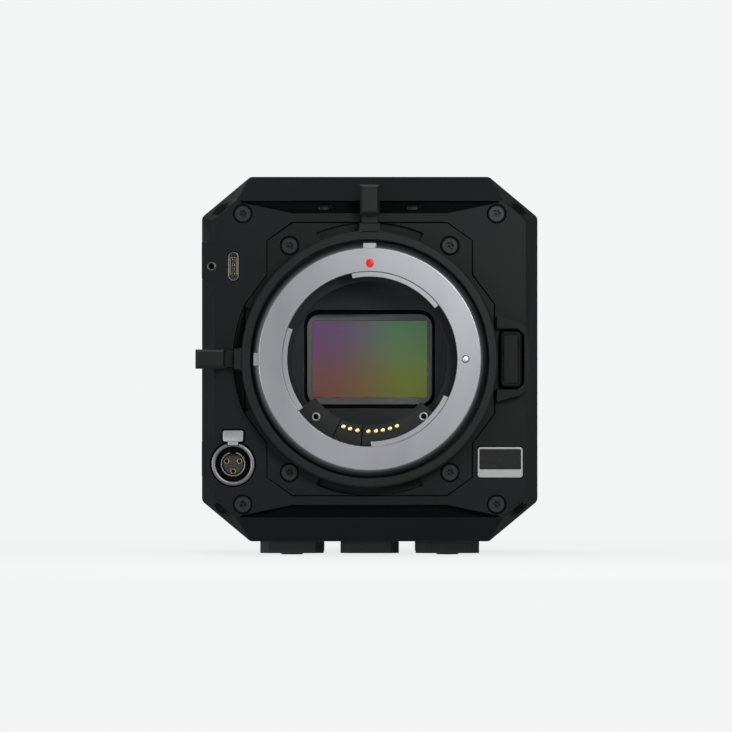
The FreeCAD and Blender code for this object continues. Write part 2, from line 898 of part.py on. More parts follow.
def countersinks(axis, places, surface, depth, head_radius, shank_radius, through, facing):
    """Holes for a group of screws: a wide one for each head and a narrow one for each shank."""
    tools = []
    for first, second in places:
        floor = surface - as_size(depth) * facing
        low, high = (surface, floor) if facing < 0 else (floor, surface)
        tools.append(rod(axis, first, second, head_radius + S.fit_gap, low, high, "head_hole"))
        low, high = (floor, through) if facing < 0 else (through, floor)
        tools.append(rod(axis, first, second, shank_radius + S.fit_gap / 2, low, high, "shank_hole"))
    return tools


HEAD_DEPTH = S.screw_head_height + S.screw_head_sunk
BODY_SCREWS = four_corners(HALF_WIDTH - S.screw_side_inset, HALF_HEIGHT - S.screw_end_inset)
MOUNT_SCREWS = four_corners(*at_angle(RING_RADIUS + S.mount_screw_margin, S.mount_screw_angle))


# The outer shells

def make_front_cover():
    body = new_body("front_cover_blank")
    face = draw_outline(sketch_on(body, "y", FACE_Y, "face_outline"), FACE_OUTLINE)
    rim = draw_outline(sketch_on(body, "y", BEVEL_Y, "rim_outline"), OUTER_OUTLINE)
    loft = body.newObject("PartDesign::AdditiveLoft", "front_bevel")
    loft.Profile = face
    loft.Sections = [rim]
    loft.Ruled = True
    pad = pad_outline(body, "y", OUTER_OUTLINE, BEVEL_Y, COVER_Y, "rim")
    doc.recompute()
    round_edges(body, pad, edges_along(pad.Shape, "y"), S.corner_radius)

    hollow = prism("y", INNER_OUTLINE, WALL_Y, COVER_Y + OVER, name="cover_hollow")
    pads = [
        edge_pad(USB_Z - S.edge_pad_below, USB_Z + S.edge_pad_above),
        edge_pad(XLR_Z - S.edge_pad_slope, XLR_Z + S.xlr_bore_radius),
    ]
    posts = [rod("y", x, z, S.post_radius, WALL_Y, COVER_Y, "corner_post") for x, z in BODY_SCREWS]
    guard = prism("y", guard_outline(), GUARD_Y, FACE_Y + S.guard_sunk, name="guard")
    shell = join([cut(body, [hollow], "cover_shell"), guard] + pads + posts, "cover_solid")

    tools = [
        prism("y", plate_outline(), FACE_Y - OVER, PLATE_Y, name="plate_seat"),
        rod("y", 0, 0, BAFFLE_SEAT_RADIUS, PLATE_Y - OVER, WALL_Y + OVER, "baffle_hole"),
        prism("y", guard_opening(), GUARD_Y - OVER, FACE_Y, name="guard_opening"),
        prism("y", button_outline(S.moving_gap), FACE_Y - OVER, WALL_Y + OVER, S.button_radius,
              "button_hole"),
        prism("y", usb_outline(USB_X, USB_Z, S.fit_gap), FACE_Y - OVER, WALL_Y + OVER, usb_round(S.fit_gap),
              "usb_hole"),
        rod("y", XLR_X, XLR_Z, S.xlr_bore_radius, FACE_Y - OVER, XLR_END_Y + S.fit_gap, "xlr_bore"),
        prism("y", latch_outline(S.moving_gap), FACE_Y - OVER,
              LATCH_Y + S.latch_depth + S.latch_travel + S.moving_gap, name="latch_pocket"),
        prism("y", badge_outline(S.fit_gap), FACE_Y - OVER, FACE_Y + S.badge_sunk, S.badge_corner,
              "badge_seat"),
        rod("y", S.locking_hole_inset - HALF_WIDTH, USB_Z, S.locking_hole_radius, FACE_Y - OVER,
            FACE_Y + S.locking_hole_depth, "locking_hole"),
        crescents(FACE_Y - OVER),
    ]
    tools += [recess(side) for side in (1, -1)]
    for side in (1, -1):
        slot = centred(S.mic_x * side, MIC_Z, S.mic_slot_width, S.mic_slot_height)
        tools.append(prism("y", slot, FACE_Y, WALL_Y + OVER, S.mic_slot_height / 2 * END_ROUND, "mic_slot"))
    tools += countersinks("y", BODY_SCREWS, FACE_Y, HEAD_DEPTH, S.screw_head_radius, S.screw_shank_radius,
                          COVER_Y + OVER, -1)
    for x, z in MOUNT_SCREWS:
        tools.append(rod("y", x, z, S.screw_shank_radius + S.fit_gap / 2, PLATE_Y - OVER, WALL_Y + OVER,
                         "mount_hole"))
    return publish(cut(shell, tools, "front_cover"), "front_cover")


def recess(side):
    """The shallow trough above or below the mount, deepest along the body's edge."""
    inner_z = (HALF_HEIGHT - S.recess_end_inset) * side
    corner_z = (HALF_HEIGHT - S.recess_corner_inset) * side
    edge_z = (HALF_HEIGHT - S.top_bevel) * side
    outer_x = HALF_WIDTH - S.recess_side_inset
    points = [
        (-PLATE_END_HALF_WIDTH, inner_z), (PLATE_END_HALF_WIDTH, inner_z), (outer_x, corner_z),
        (outer_x, edge_z), (-outer_x, edge_z), (-outer_x, corner_z),
    ]
    return prism("y", points, FACE_Y - OVER, FACE_Y + S.recess_depth, name="recess")


def edge_pad(low, high):
    """A place on the left bevel where the face runs out to the camera's side."""
    inner = S.side_bevel + OVER - HALF_WIDTH
    points = [
        (inner, low - S.edge_pad_slope),
        (S.side_bevel - HALF_WIDTH, low - S.edge_pad_slope),
        (-HALF_WIDTH, low),
        (-HALF_WIDTH, high),
        (inner, high),
    ]
    return prism("y", points, FACE_Y, BEVEL_Y + OVER, name="edge_pad")


def guard_outline():
    upper = [
        (RING_RADIUS - S.guard_ring_lap, S.guard_half_height),
        (HALF_WIDTH - S.guard_shoulder_inset, S.guard_shoulder_z),
        (HALF_WIDTH - S.side_bevel, S.guard_corner_z),
        (HALF_WIDTH - S.guard_tip_inset, S.guard_tip_z),
    ]
    return [(x, -z) for x, z in upper] + list(reversed(upper))


def guard_opening():
    high_x = BUTTON_HIGH_X + S.guard_gap
    half = S.button_half_height + S.guard_gap
    corner = S.guard_opening_corner
    low_x = RING_RADIUS - S.guard_ring_lap - OVER
    return [
        (low_x, -half), (high_x - corner, -half), (high_x, corner - half),
        (high_x, half - corner), (high_x - corner, half), (low_x, half),
    ]


def button_outline(gap=0):
    half = S.button_half_height + gap
    return rectangle(BUTTON_LOW_X - gap, BUTTON_HIGH_X + gap, -half, half)


def usb_outline(x, z, gap=0):
    return centred(x, z, S.usb_width + as_size(gap) * 2, S.usb_height + as_size(gap) * 2)


def usb_round(gap=0):
    return (S.usb_width / 2 + gap) * S.usb_end_round


def latch_outline(gap=0):
    return centred(XLR_X, LATCH_Z, S.latch_width + as_size(gap) * 2, S.latch_height + as_size(gap) * 2)


def badge_outline(gap=0):
    low_x = BADGE_HIGH_X - S.badge_width
    return rectangle(low_x - gap, BADGE_HIGH_X + gap, BADGE_LOW_Z - gap, BADGE_LOW_Z + S.badge_height + gap)


def side_rectangle(y, z, length, height, gap=0):
    return centred(y, z, as_size(length) + as_size(gap) * 2, as_size(height) + as_size(gap) * 2)


def make_main_housing():
    body = new_body("housing_blank")
    pad = pad_outline(body, "y", OUTER_OUTLINE, COVER_Y, HOUSING_END_Y, "tube")
    doc.recompute()
    round_edges(body, pad, edges_along(pad.Shape, "y"), S.corner_radius)
    hollow = prism("y", INNER_OUTLINE, COVER_Y - OVER, HOUSING_END_Y + OVER, name="housing_hollow")
    posts = [rod("y", x, z, S.post_radius, COVER_Y, HOUSING_END_Y, "corner_post") for x, z in BODY_SCREWS]
    shell = join([cut(body, [hollow], "housing_tube")] + posts, "housing_solid")

    left = -HALF_WIDTH
    right = HALF_WIDTH
    top = HALF_HEIGHT
    ledge = VENT_SIZE - S.vent_ledge * 2
    door_end = S.door_length / 2 + S.door_pin_reach
    tools = [
        prism("x", side_rectangle(FAN_Y, S.fan_z, VENT_SIZE, VENT_SIZE), left - OVER,
              left + S.vent_thickness,
              name="vent_seat"),
        prism("x", side_rectangle(FAN_Y, S.fan_z, ledge, ledge), left - OVER, OVER - INNER_X,
              name="vent_opening"),
        prism("x", side_rectangle(DOOR_Y, DOOR_Z, S.door_length, S.door_height), left - OVER,
              left + S.door_thickness + S.fit_gap * 2, name="door_seat"),
        prism("x", side_rectangle(DOOR_Y, DOOR_Z, S.door_opening_length, S.door_opening_height),
              left - OVER,
              OVER - INNER_X, name="door_opening"),
        rod("y", door_axis_x(), door_axis_z(), S.door_pin_radius, DOOR_Y - door_end, DOOR_Y + door_end,
            "door_pin_hole"),
        prism("x", side_rectangle(SIDE_PLATE_Y, S.side_plate_z, S.side_plate_length, S.side_plate_height),
              left - OVER, left + S.insert_depth, name="side_plate_seat"),
        prism("x", side_rectangle(SCREEN_Y, SCREEN_Z, SCREEN_LENGTH, S.screen_height),
              right - S.bezel_thickness, right + OVER, S.screen_corner, "screen_seat"),
        prism("z", centred(0, TOP_PLATE_Y, S.top_plate_width, TOP_PLATE_LENGTH), top - S.insert_depth,
              top + OVER, name="top_plate_seat"),
        prism("z", centred(0, BASE_PLATE_Y, BASE_PLATE_WIDTH, BASE_PLATE_LENGTH), -top - OVER,
              S.insert_depth - top, name="base_plate_seat"),
        prism("x", side_rib(S.fit_gap), left, OVER - INNER_X, name="side_rib_hole"),
        prism("z", top_rib(S.fit_gap), top - S.wall - OVER, top, name="top_rib_hole"),
        prism("z", base_rib(S.fit_gap), -top, S.wall + OVER - top, name="base_rib_hole"),
        rod("x", RECORD_Y, CONTROL_Z, S.record_radius + S.moving_gap, INNER_X - OVER, right + OVER,
            "record_hole"),
        prism("x", side_rectangle(RECORD_Y, SWITCH_Z, SWITCH_SLOT_LENGTH, S.switch_slot_height),
              INNER_X - OVER, right + OVER, name="switch_slot"),
    ]
    for y in key_places():
        outline = side_rectangle(y, CONTROL_Z, S.key_length, S.key_height, S.moving_gap)
        tools.append(prism("x", outline, INNER_X - OVER, right + OVER, S.key_corner, "key_hole"))
    radius = S.screw_shank_radius + S.fit_gap / 2
    front_end = FACE_Y + HEAD_DEPTH + S.face_screw_length + OVER
    rear_start = REAR_Y - HEAD_DEPTH - S.rear_screw_length - OVER
    for x, z in BODY_SCREWS:
        tools.append(rod("y", x, z, radius, COVER_Y - OVER, front_end, "front_hole"))
        tools.append(rod("y", x, z, radius, rear_start, HOUSING_END_Y + OVER, "rear_hole"))
    radius = S.plate_screw_shank_radius + S.fit_gap / 2
    for x, y in top_screw_places():
        tools.append(rod("z", x, y, radius, top - S.wall - OVER, top, "top_screw_hole"))
    for x, y in base_screw_places():
        tools.append(rod("z", x, y, radius, -top, S.wall + OVER - top, "base_screw_hole"))
    return publish(housing_solids(cut(shell, tools, "housing_shell")), "main_housing")


def housing_solids(shell):
    """The shell as four walls between four corner rails, which meet face to face."""
    depth = (COVER_Y - OVER, HOUSING_END_Y + OVER)
    across = HALF_WIDTH - S.rail_width
    along = HALF_HEIGHT - S.rail_height
    side = (INNER_X - S.fit_gap, HALF_WIDTH + OVER)
    end = (HALF_HEIGHT - S.wall - S.fit_gap, HALF_HEIGHT + OVER)
    zones = [
        block((-side[1], -side[0]), depth, (-along, along), "left_wall_zone"),
        block(side, depth, (-along, along), "right_wall_zone"),
        block((-across, across), depth, end, "top_wall_zone"),
        block((-across, across), depth, (-end[1], -end[0]), "base_wall_zone"),
    ]
    walls = [common(shell, zone, "housing_wall") for zone in zones]
    return group([cut(shell, zones, "corner_rails")] + walls, "main_housing")


def make_rear_cover():
    body = new_body("rear_cover_blank")
    pad = pad_outline(body, "y", OUTER_OUTLINE, HOUSING_END_Y, REAR_Y, "rear_rim")
    doc.recompute()
    rounded = round_edges(body, pad, edges_along(pad.Shape, "y"), S.corner_radius)
    doc.recompute()
    rear = edges_where(rounded.Shape, lambda middle: middle.y > REAR_Y.value - CLOSE)
    bevel_edges(body, rounded, rear, S.rear_bevel)
    hollow = prism("y", INNER_OUTLINE, HOUSING_END_Y - OVER, REAR_WALL_Y, name="rear_hollow")
    posts = [rod("y", x, z, S.post_radius, HOUSING_END_Y, REAR_WALL_Y, "corner_post") for x,
             z in BODY_SCREWS]
    legs = [
        rod("y", x, z, S.sensor_post_radius, BOARD_BACK_Y, REAR_WALL_Y, "board_leg")
        for x, z in four_corners(BOARD_HALF_WIDTH - S.board_leg_side_inset,
                                 BOARD_HALF_HEIGHT - S.board_leg_end_inset)
    ]
    shell = join([cut(body, [hollow], "rear_shell")] + posts + legs, "rear_solid")
    low = REAR_WALL_Y - OVER
    high = REAR_Y + OVER
    tools = countersinks("y", BODY_SCREWS, REAR_Y, HEAD_DEPTH, S.screw_head_radius, S.screw_shank_radius,
                         HOUSING_END_Y - OVER, 1)
    tools += [
        rod("y", COLUMN_X, S.bnc_z, S.bnc_radius + S.fit_gap, low, high, "bnc_hole"),
        prism("y", centred(COLUMN_X, S.network_z, S.network_width + S.fit_gap * 2,
                           S.network_height + S.fit_gap * 2),
              low, high, name="network_hole"),
        prism("y", usb_outline(COLUMN_X, S.rear_usb_z, S.fit_gap), low, high, usb_round(S.fit_gap),
              "rear_usb_hole"),
        rod("y", -COLUMN_X, S.dc_z, S.dc_radius + S.fit_gap, low, high, "dc_hole"),
        rod("y", -COLUMN_X, S.jack_high_z, S.jack_radius + S.fit_gap, low, high, "jack_hole"),
        rod("y", -COLUMN_X, S.jack_low_z, S.jack_radius + S.fit_gap, low, high, "jack_hole"),
        prism("y", battery_latch_outline(S.moving_gap), low, high, name="latch_hole"),
    ]
    return publish(cut(shell, tools, "rear_cover"), "rear_cover")


# The lens mount

def make_mount_plate():
    plate = prism("y", plate_outline(S.plate_gap), FACE_Y, PLATE_Y, name="plate_blank")
    boss = rod("y", 0, 0, BOSS_RADIUS, S.flange_thickness, PLATE_Y, "plate_boss")
    tools = [
        rod("y", 0, 0, THROAT_BORE, S.flange_thickness - OVER, PLATE_Y + OVER, "plate_bore"),
        rod("y", LOCK_PIN_X, 0, S.lock_pin_radius + S.running_gap, S.flange_thickness - OVER,
            PLATE_Y + OVER, "plate_pin_hole"),
        crescents(FACE_Y - OVER),
    ]
    tools += countersinks("y", MOUNT_SCREWS, FACE_Y, HEAD_DEPTH, S.screw_head_radius, S.screw_shank_radius,
                          PLATE_Y + OVER, -1)
    return publish(cut(join([plate, boss], "plate_solid"), tools, "mount_plate"), "mount_plate")


def make_mount_flange():
    claw_back = S.claw_front + S.claw_thickness
    ring = turned([
        (S.throat_radius, 0),
        (FLANGE_FACE_RADIUS, 0),
        (FLANGE_RADIUS, S.flange_bevel),
        (FLANGE_RADIUS, S.flange_thickness),
        (S.throat_radius, S.flange_thickness),
        (S.throat_radius, claw_back),
        (CLAW_RADIUS, claw_back),
        (CLAW_RADIUS, S.claw_front),
        (S.throat_radius, S.claw_front),
    ], "flange_blank")
    tools = [
        wedge(S.throat_radius, S.claw_front - OVER, claw_back + OVER, start, sweep, "claw_gap")
        for start, sweep in CLAW_GAPS
    ]
    half = S.notch_width / 2
    tools += [
        block((-half, half), (-OVER, S.notch_depth), (FLANGE_FACE_RADIUS, FLANGE_RADIUS + OVER), "notch"),
        block((-FLANGE_RADIUS - OVER, -FLANGE_FACE_RADIUS), (-OVER, S.notch_depth), (-half, half), "notch"),
        rod("y", 0, INDEX_Z, S.index_radius, -OVER, S.index_depth, "index_seat"),
        rod("y", LOCK_PIN_X, 0, S.lock_pin_radius + S.running_gap, -OVER,
            S.flange_thickness + OVER, "pin_hole"),
    ]
    return publish(cut(ring, tools, "mount_flange"), "mount_flange")


def make_index_dot():
    return publish(rod("y", 0, INDEX_Z, S.index_radius, 0, S.index_depth, "dot"), "index_dot")


def make_lens_lock_pin():
    pin = rod("y", LOCK_PIN_X, 0, S.lock_pin_radius, -S.lock_pin_proud,
              S.lock_pin_length - S.lock_pin_proud, "pin")
    return publish(pin, "lens_lock_pin")


def make_locking_ring():
    back = FACE_Y - S.moving_gap
    lip_front = S.flange_thickness + S.moving_gap
    lip_radius = BOSS_RADIUS + S.running_gap
    ring = turned([
        (RING_INNER_RADIUS, -S.ring_front),
        (RING_RADIUS - S.ring_edge, -S.ring_front),
        (RING_RADIUS, S.ring_edge - S.ring_front),
        (RING_RADIUS, back),
        (lip_radius, back),
        (lip_radius, lip_front),
        (RING_INNER_RADIUS, lip_front),
    ], "ring_blank")
    solids = [ring] + [lever(angle) for angle in LEVER_ANGLES]
    return publish(join(solids, "locking_ring"), "locking_ring")


def lever(angle):
    """A lug in the crescent, a thin neck and a raised knob, drawn upright and turned into place."""
    root = RING_INNER_RADIUS + S.lug_root
    tip = CRESCENT_RADIUS - S.moving_gap
    back = FACE_Y - S.knob_gap
    lug_back = FACE_Y + S.crescent_depth - S.moving_gap
    lug = prism("y", [
        (-S.lug_half_width, root),
        (S.lug_half_width, root),
        (S.lug_tip_half_width, tip),
        (-S.lug_tip_half_width, tip),
    ], S.lug_front, lug_back, name="lug")
    neck = block((-S.neck_half_width, S.neck_half_width), (S.neck_front, back),
                 (tip - OVER, KNOB_START + OVER),
                 "neck")
    body = new_body("knob")
    pad = pad_outline(body, "y", rectangle(-S.knob_half_width, S.knob_half_width, KNOB_START, KNOB_END),
                      -S.knob_front, back, "knob_pad")
    doc.recompute()
    front = edges_where(pad.Shape, lambda middle: middle.y < CLOSE - S.knob_front.value)
    bevel_edges(body, pad, front, S.knob_bevel, "knob_bevel")
    whole = join([lug, neck, body], "lever")
    whole.Placement = FreeCAD.Placement(
        FreeCAD.Vector(), FreeCAD.Rotation(FreeCAD.Vector(0, -1, 0), angle - 90)
    )
    return whole


def make_release_button():
    cap = prism("y", button_outline(), BUTTON_Y, WALL_Y + S.moving_gap, S.button_radius, "button_cap")
    doc.recompute()
    front = edges_where(cap.Shape, lambda middle: middle.y < BUTTON_Y.value + CLOSE)
    bevel_edges(cap, cap.Tip, front, S.button_bevel, "button_bevel")
    lip_front = WALL_Y + S.moving_gap
    lip = prism("y", button_outline(S.button_lip), lip_front, lip_front + S.button_lip_thickness,
                S.button_radius,
                "button_lip")
    return publish(join([cap, lip], "release_button"), "release_button")


def make_contact_block():
    front = S.block_front
    back = front + S.block_thickness
    outer = wedge(THROAT_BORE - S.running_gap, front, back, S.block_start_angle, S.block_sweep,
                  "block_slice")
    tools = [rod("y", 0, 0, S.throat_radius - S.block_width, front - OVER, back + OVER, "block_core")]
    step_start, step_end = SLOT_ANGLES
    step = wedge(THROAT_BORE + OVER, front - OVER, front + S.block_step, step_start, step_end - step_start,
                 "block_step")
    tools.append(step)
    for angle in PIN_ANGLES:
        x, z = at_angle(PIN_CIRCLE, angle)
        tools.append(rod("y", x, z, S.pin_radius + S.pin_gap, front - OVER, back + OVER, "pin_hole"))
    for angle in RIVET_ANGLES:
        x, z = at_angle(RIVET_CIRCLE, angle)
        tools.append(rod("y", x, z, S.rivet_radius, front - OVER, front + S.rivet_length, "rivet_hole"))
    return publish(cut(outer, tools, "contact_block"), "contact_block")


def make_contact_pins():
    pins = []
    for angle in PIN_ANGLES:
        x, z = at_angle(PIN_CIRCLE, angle)
        pins.append(rod("y", x, z, S.pin_radius, S.block_front - S.pin_proud,
                        S.block_front + S.block_thickness, "pin"))
    return publish(group(pins, "contact_pins"), "contact_pins")


def make_contact_rivets():
    rivets = []
    for angle in RIVET_ANGLES:
        x, z = at_angle(RIVET_CIRCLE, angle)
        outer = rod("y", x, z, S.rivet_radius, S.block_front, S.block_front + S.rivet_length, "rivet_blank")
        hole = rod("y", x, z, S.rivet_hole_radius, S.block_front - OVER,
                   S.block_front + S.rivet_length / 2, "rivet_hole")
        rivets.append(cut(outer, [hole], "rivet"))
    return publish(group(rivets, "contact_rivets"), "contact_rivets")


# The sensor chamber

def make_light_baffle():
    seat = BAFFLE_SEAT_RADIUS - S.running_gap
    tube = BAFFLE_TUBE_RADIUS
    inner = tube - S.baffle_tube_wall
    opening = THROAT_BORE - S.baffle_lip_width
    lip = PLATE_Y + S.baffle_lip_thickness
    return publish(turned([
        (opening, PLATE_Y),
        (seat, PLATE_Y),
        (seat, PLATE_Y + S.baffle_seat_thickness),
        (tube, PLATE_Y + S.baffle_seat_thickness),
        (tube, CHAMBER_Y),
        (inner, CHAMBER_Y),
        (inner, lip),
        (opening, lip),
    ], "light_baffle"), "light_baffle")


def make_chamber_plate():
    half_height = BAFFLE_TUBE_RADIUS + S.chamber_margin
    plate = block((-CHAMBER_HALF_WIDTH, CHAMBER_HALF_WIDTH), (CHAMBER_Y, HOLDER_Y),
                  (-half_height, half_height),
                  "chamber_blank")
    window = prism("y", centred(0, 0, S.window_width, S.window_height), CHAMBER_Y - OVER, HOLDER_Y + OVER,
                   S.window_radius, "window")
    posts = [
        rod("y", x, z, S.sensor_post_radius, WALL_Y, SENSOR_BACK_Y, "sensor_post")
        for x, z in four_corners(S.sensor_post_x, S.sensor_post_z)
    ]
    return publish(join([cut(plate, [window], "chamber_panel")] + posts, "chamber_plate"), "chamber_plate")


def make_filter_holder():
    front = HOLDER_Y
    back = front + S.holder_thickness
    frame = prism("y", centred(0, 0, S.holder_width, S.holder_height), front, back, S.holder_opening_radius,
                  "holder_blank")
    opening = prism("y", centred(0, 0, S.holder_opening_width, S.holder_opening_height), front - OVER,
                    back + OVER,
                    S.holder_opening_radius, "holder_opening")
    rebate = prism("y", centred(0, 0, S.filter_width + S.fit_gap * 2, S.filter_height + S.fit_gap * 2),
                   front + S.holder_lip, back + OVER, name="holder_rebate")
    return publish(cut(frame, [opening, rebate], "filter_holder"), "filter_holder")


def make_filter_glass():
    front = HOLDER_Y + S.holder_lip
    glass = prism("y", centred(0, 0, S.filter_width, S.filter_height), front, front + S.filter_thickness,
                  name="filter_glass")
    return publish(glass, "filter_glass")


def make_sensor_package():
    front = S.flange_distance - S.package_rim
    package = prism("y", centred(0, 0, S.package_width, S.package_height), front, SENSOR_BACK_Y,
                    name="package_blank")
    gap = S.fit_gap
    well = prism("y", centred(0, 0, S.array_width + gap, S.array_height + gap), front - OVER,
                 S.flange_distance + S.array_thickness, name="package_well")
    return publish(cut(package, [well], "sensor_package"), "sensor_package")


def make_sensor_array():
    array = prism("y", centred(0, 0, S.array_width, S.array_height), S.flange_distance,
                  S.flange_distance + S.array_thickness, name="sensor_array")
    return publish(array, "sensor_array")


def make_sensor_board():
    half_width = CHAMBER_HALF_WIDTH + S.sensor_board_margin
    half_height = S.sensor_post_z + S.sensor_post_radius + S.sensor_board_margin
    board = prism("y", rectangle(-half_width, half_width, -half_height, half_height), SENSOR_BACK_Y,
                  SPREADER_Y,
                  S.sensor_post_radius, "sensor_board")
    return publish(board, "sensor_board")


def make_heat_spreader():
    spreader = block((-CHAMBER_HALF_WIDTH, CHAMBER_HALF_WIDTH), (SPREADER_Y, SINK_Y),
                     (-S.spreader_low, S.spreader_high), "heat_spreader")
    return publish(spreader, "heat_spreader")


def make_heat_sink():
    """A base with a row of fins along X, so that the fan draws air between them."""
    body = new_body("heat_sink")
    row_height = S.fin_pitch * (S.fin_count - 1)
    half_width = INNER_X - S.fan_depth - S.sink_fan_gap
    base = rectangle(-half_width, half_width, -S.sink_low, row_height + S.fin_thickness - S.sink_low)
    pad_outline(body, "y", base, SINK_Y, FIN_ROOT_Y, "sink_base")
    lowest = rectangle(-half_width, half_width, -S.sink_low, S.fin_thickness - S.sink_low)
    fin = pad_outline(body, "y", lowest, FIN_ROOT_Y - S.fin_root, FIN_END_Y, "fin")
    doc.recompute()
    row = body.newObject("PartDesign::LinearPattern", "fin_row")
    row.Originals = [fin]
    row.Direction = (fin.Profile[0], ["V_Axis"])
    bind(row, "Length", row_height)
    row.Occurrences = int(S.fin_count.value)
    body.Tip = row
    return publish(body, "heat_sink")


# The cooling fan

def make_fan_housing():
    low = -INNER_X
    high = S.fan_depth - INNER_X
    plate = high - S.fan_plate
    half = S.fan_size / 2
    frame = prism("x", side_rectangle(FAN_Y, S.fan_z, S.fan_size, S.fan_size), low, high, S.fan_corner,
                  "fan_frame")
    bore = rod("x", FAN_Y, S.fan_z, FAN_BORE, low - OVER, high + OVER, "fan_bore")
    cup = rod("x", FAN_Y, S.fan_z, S.fan_hub, plate, high, "motor_cup")
    shaft_hole = rod("x", FAN_Y, S.fan_z, S.fan_shaft_radius, plate - OVER, high + OVER, "shaft_hole")
    width = S.spoke_width / 2
    spokes = [
        block((plate, high), (FAN_Y - width, FAN_Y + width), (S.fan_z - half, S.fan_z + half), "spoke"),
        block((plate, high), (FAN_Y - half, FAN_Y + half), (S.fan_z - width, S.fan_z + width), "spoke"),
    ]
    whole = join([cut(frame, [bore], "fan_ring"), cup] + spokes, "fan_whole")
    return publish(cut(whole, [shaft_hole], "fan_housing"), "fan_housing")


def make_fan_rotor():
    low = S.fan_blade_gap - INNER_X
    high = S.fan_depth - INNER_X - S.fan_plate - S.moving_gap
    hub_radius = S.fan_hub - S.fan_hub_step
    hub = rod("x", FAN_Y, S.fan_z, hub_radius, low, high, "hub")
    shaft = rod("x", FAN_Y, S.fan_z, S.fan_shaft_radius - S.fan_shaft_gap, high - OVER,
                S.fan_depth - INNER_X - S.moving_gap, "shaft")
    middle = (low + high) / 2
    reach = FAN_BORE - S.fan_blade_gap
    depth = (high - low) / 2 * S.blade_trim
    root = hub_radius - S.blade_root
    blades = []
    for number in range(int(S.blade_count.value)):
        blade = doc.addObject("Part::Box", "blade")
        bind(blade, "Length", depth * 2)
        bind(blade, "Width", S.blade_thickness)
        bind(blade, "Height", reach - root)
        pitch = FreeCAD.Rotation(FreeCAD.Vector(0, 0, 1), S.blade_pitch_angle.value)
        spin = FreeCAD.Rotation(FreeCAD.Vector(1, 0, 0), 360.0 * number / S.blade_count.value)
        start = FreeCAD.Placement(FreeCAD.Vector(), pitch).multVec(
            FreeCAD.Vector(-depth.value, -S.blade_thickness.value / 2, 0)
        )
        local = FreeCAD.Placement(FreeCAD.Vector(start.x, start.y, root.value), pitch)
        centre = FreeCAD.Placement(FreeCAD.Vector(middle.value, FAN_Y.value, S.fan_z.value), spin)
        blade.Placement = centre.multiply(local)
        blades.append(blade)
    swept = rod("x", FAN_Y, S.fan_z, reach, low, high, "blade_sweep")
    trimmed = doc.addObject("Part::Common", "blades")
    trimmed.Base = join(blades, "blade_set")
    trimmed.Tool = swept
    return publish(join([hub, shaft, trimmed], "fan_rotor"), "fan_rotor")


def make_side_vent():
    front = -HALF_WIDTH
    back = S.vent_thickness - HALF_WIDTH
    plate = prism("x", side_rectangle(FAN_Y, S.fan_z, VENT_SIZE, VENT_SIZE, -S.fit_gap), front, back,
                  name="vent_blank")
    slot_length = VENT_SIZE - S.vent_ledge * 4
    start = S.fan_z - S.vent_slot_pitch * (S.vent_slot_count - 1) / 2
    slots = []
    for number in range(int(S.vent_slot_count.value)):
        outline = side_rectangle(FAN_Y, start + S.vent_slot_pitch * number, slot_length, S.vent_slot_height)
        slots.append(prism("x", outline, front - OVER, back + OVER, S.vent_slot_height / 2 * END_ROUND,
                           "vent_slot"))
    return publish(cut(plate, slots, "side_vent"), "side_vent")


# The media door and the card reader behind it

def door_axis_x():
    return S.door_thickness / 2 - HALF_WIDTH


def door_axis_z():
    return DOOR_Z - S.door_height / 2 + S.door_thickness / 2 + S.moving_gap


def make_media_door():
    half = S.door_length / 2 - S.moving_gap
    low_y = DOOR_Y - half
    high_y = DOOR_Y + half
    leaf = block((-HALF_WIDTH, S.door_thickness - HALF_WIDTH), (low_y, high_y),
                 (door_axis_z(), DOOR_Z + S.door_height / 2 - S.moving_gap), "leaf")
    knuckle = rod("y", door_axis_x(), door_axis_z(), S.door_thickness / 2, low_y, high_y, "knuckle")
    hole = rod("y", door_axis_x(), door_axis_z(), S.door_pin_radius + S.fan_shaft_gap, low_y - OVER,
               high_y + OVER, "pin_hole")
    groove_z = DOOR_Z + S.door_height / 2 - S.door_groove_inset
    pull = prism("x", centred(DOOR_Y, groove_z, S.door_groove_length, S.door_groove_width),
                 -HALF_WIDTH - OVER,
                 S.door_groove_depth - HALF_WIDTH, S.door_groove_width / 2 * END_ROUND, "finger_groove")
    return publish(cut(join([leaf, knuckle], "door_solid"), [hole, pull], "media_door"), "media_door")


def make_media_door_pin():
    reach = S.door_length / 2 + S.door_pin_reach
    pin = rod("y", door_axis_x(), door_axis_z(), S.door_pin_radius, DOOR_Y - reach, DOOR_Y + reach,
              "door_pin")
    return publish(pin, "media_door_pin")


def make_card_reader():
    half_height = S.card_slot_pitch / 2 + S.card_slot_height / 2 + S.reader_wall
    case = block((-INNER_X, S.reader_depth - INNER_X),
                 (DOOR_Y - READER_HALF_LENGTH, DOOR_Y + READER_HALF_LENGTH),
                 (DOOR_Z - half_height, DOOR_Z + half_height), "reader_case")
    slots = [
        block((-INNER_X - OVER, S.card_slot_depth - INNER_X),
              (DOOR_Y - S.card_width / 2, DOOR_Y + S.card_width / 2),
              (DOOR_Z + S.card_slot_pitch / 2 * side - S.card_slot_height / 2,
               DOOR_Z + S.card_slot_pitch / 2 * side + S.card_slot_height / 2), "card_slot")
        for side in (-1, 1)
    ]
    return publish(cut(case, slots, "card_reader"), "card_reader")


# Plates with threads for accessories and a tripod

def side_threads():
    half = S.side_thread_pitch / 2
    return [(SIDE_PLATE_Y, S.side_plate_z - half), (SIDE_PLATE_Y, S.side_plate_z + half)]


def top_threads():
    return [(as_size(0), TOP_PLATE_Y + S.top_thread_pitch * step) for step in (-1, 0, 1)]


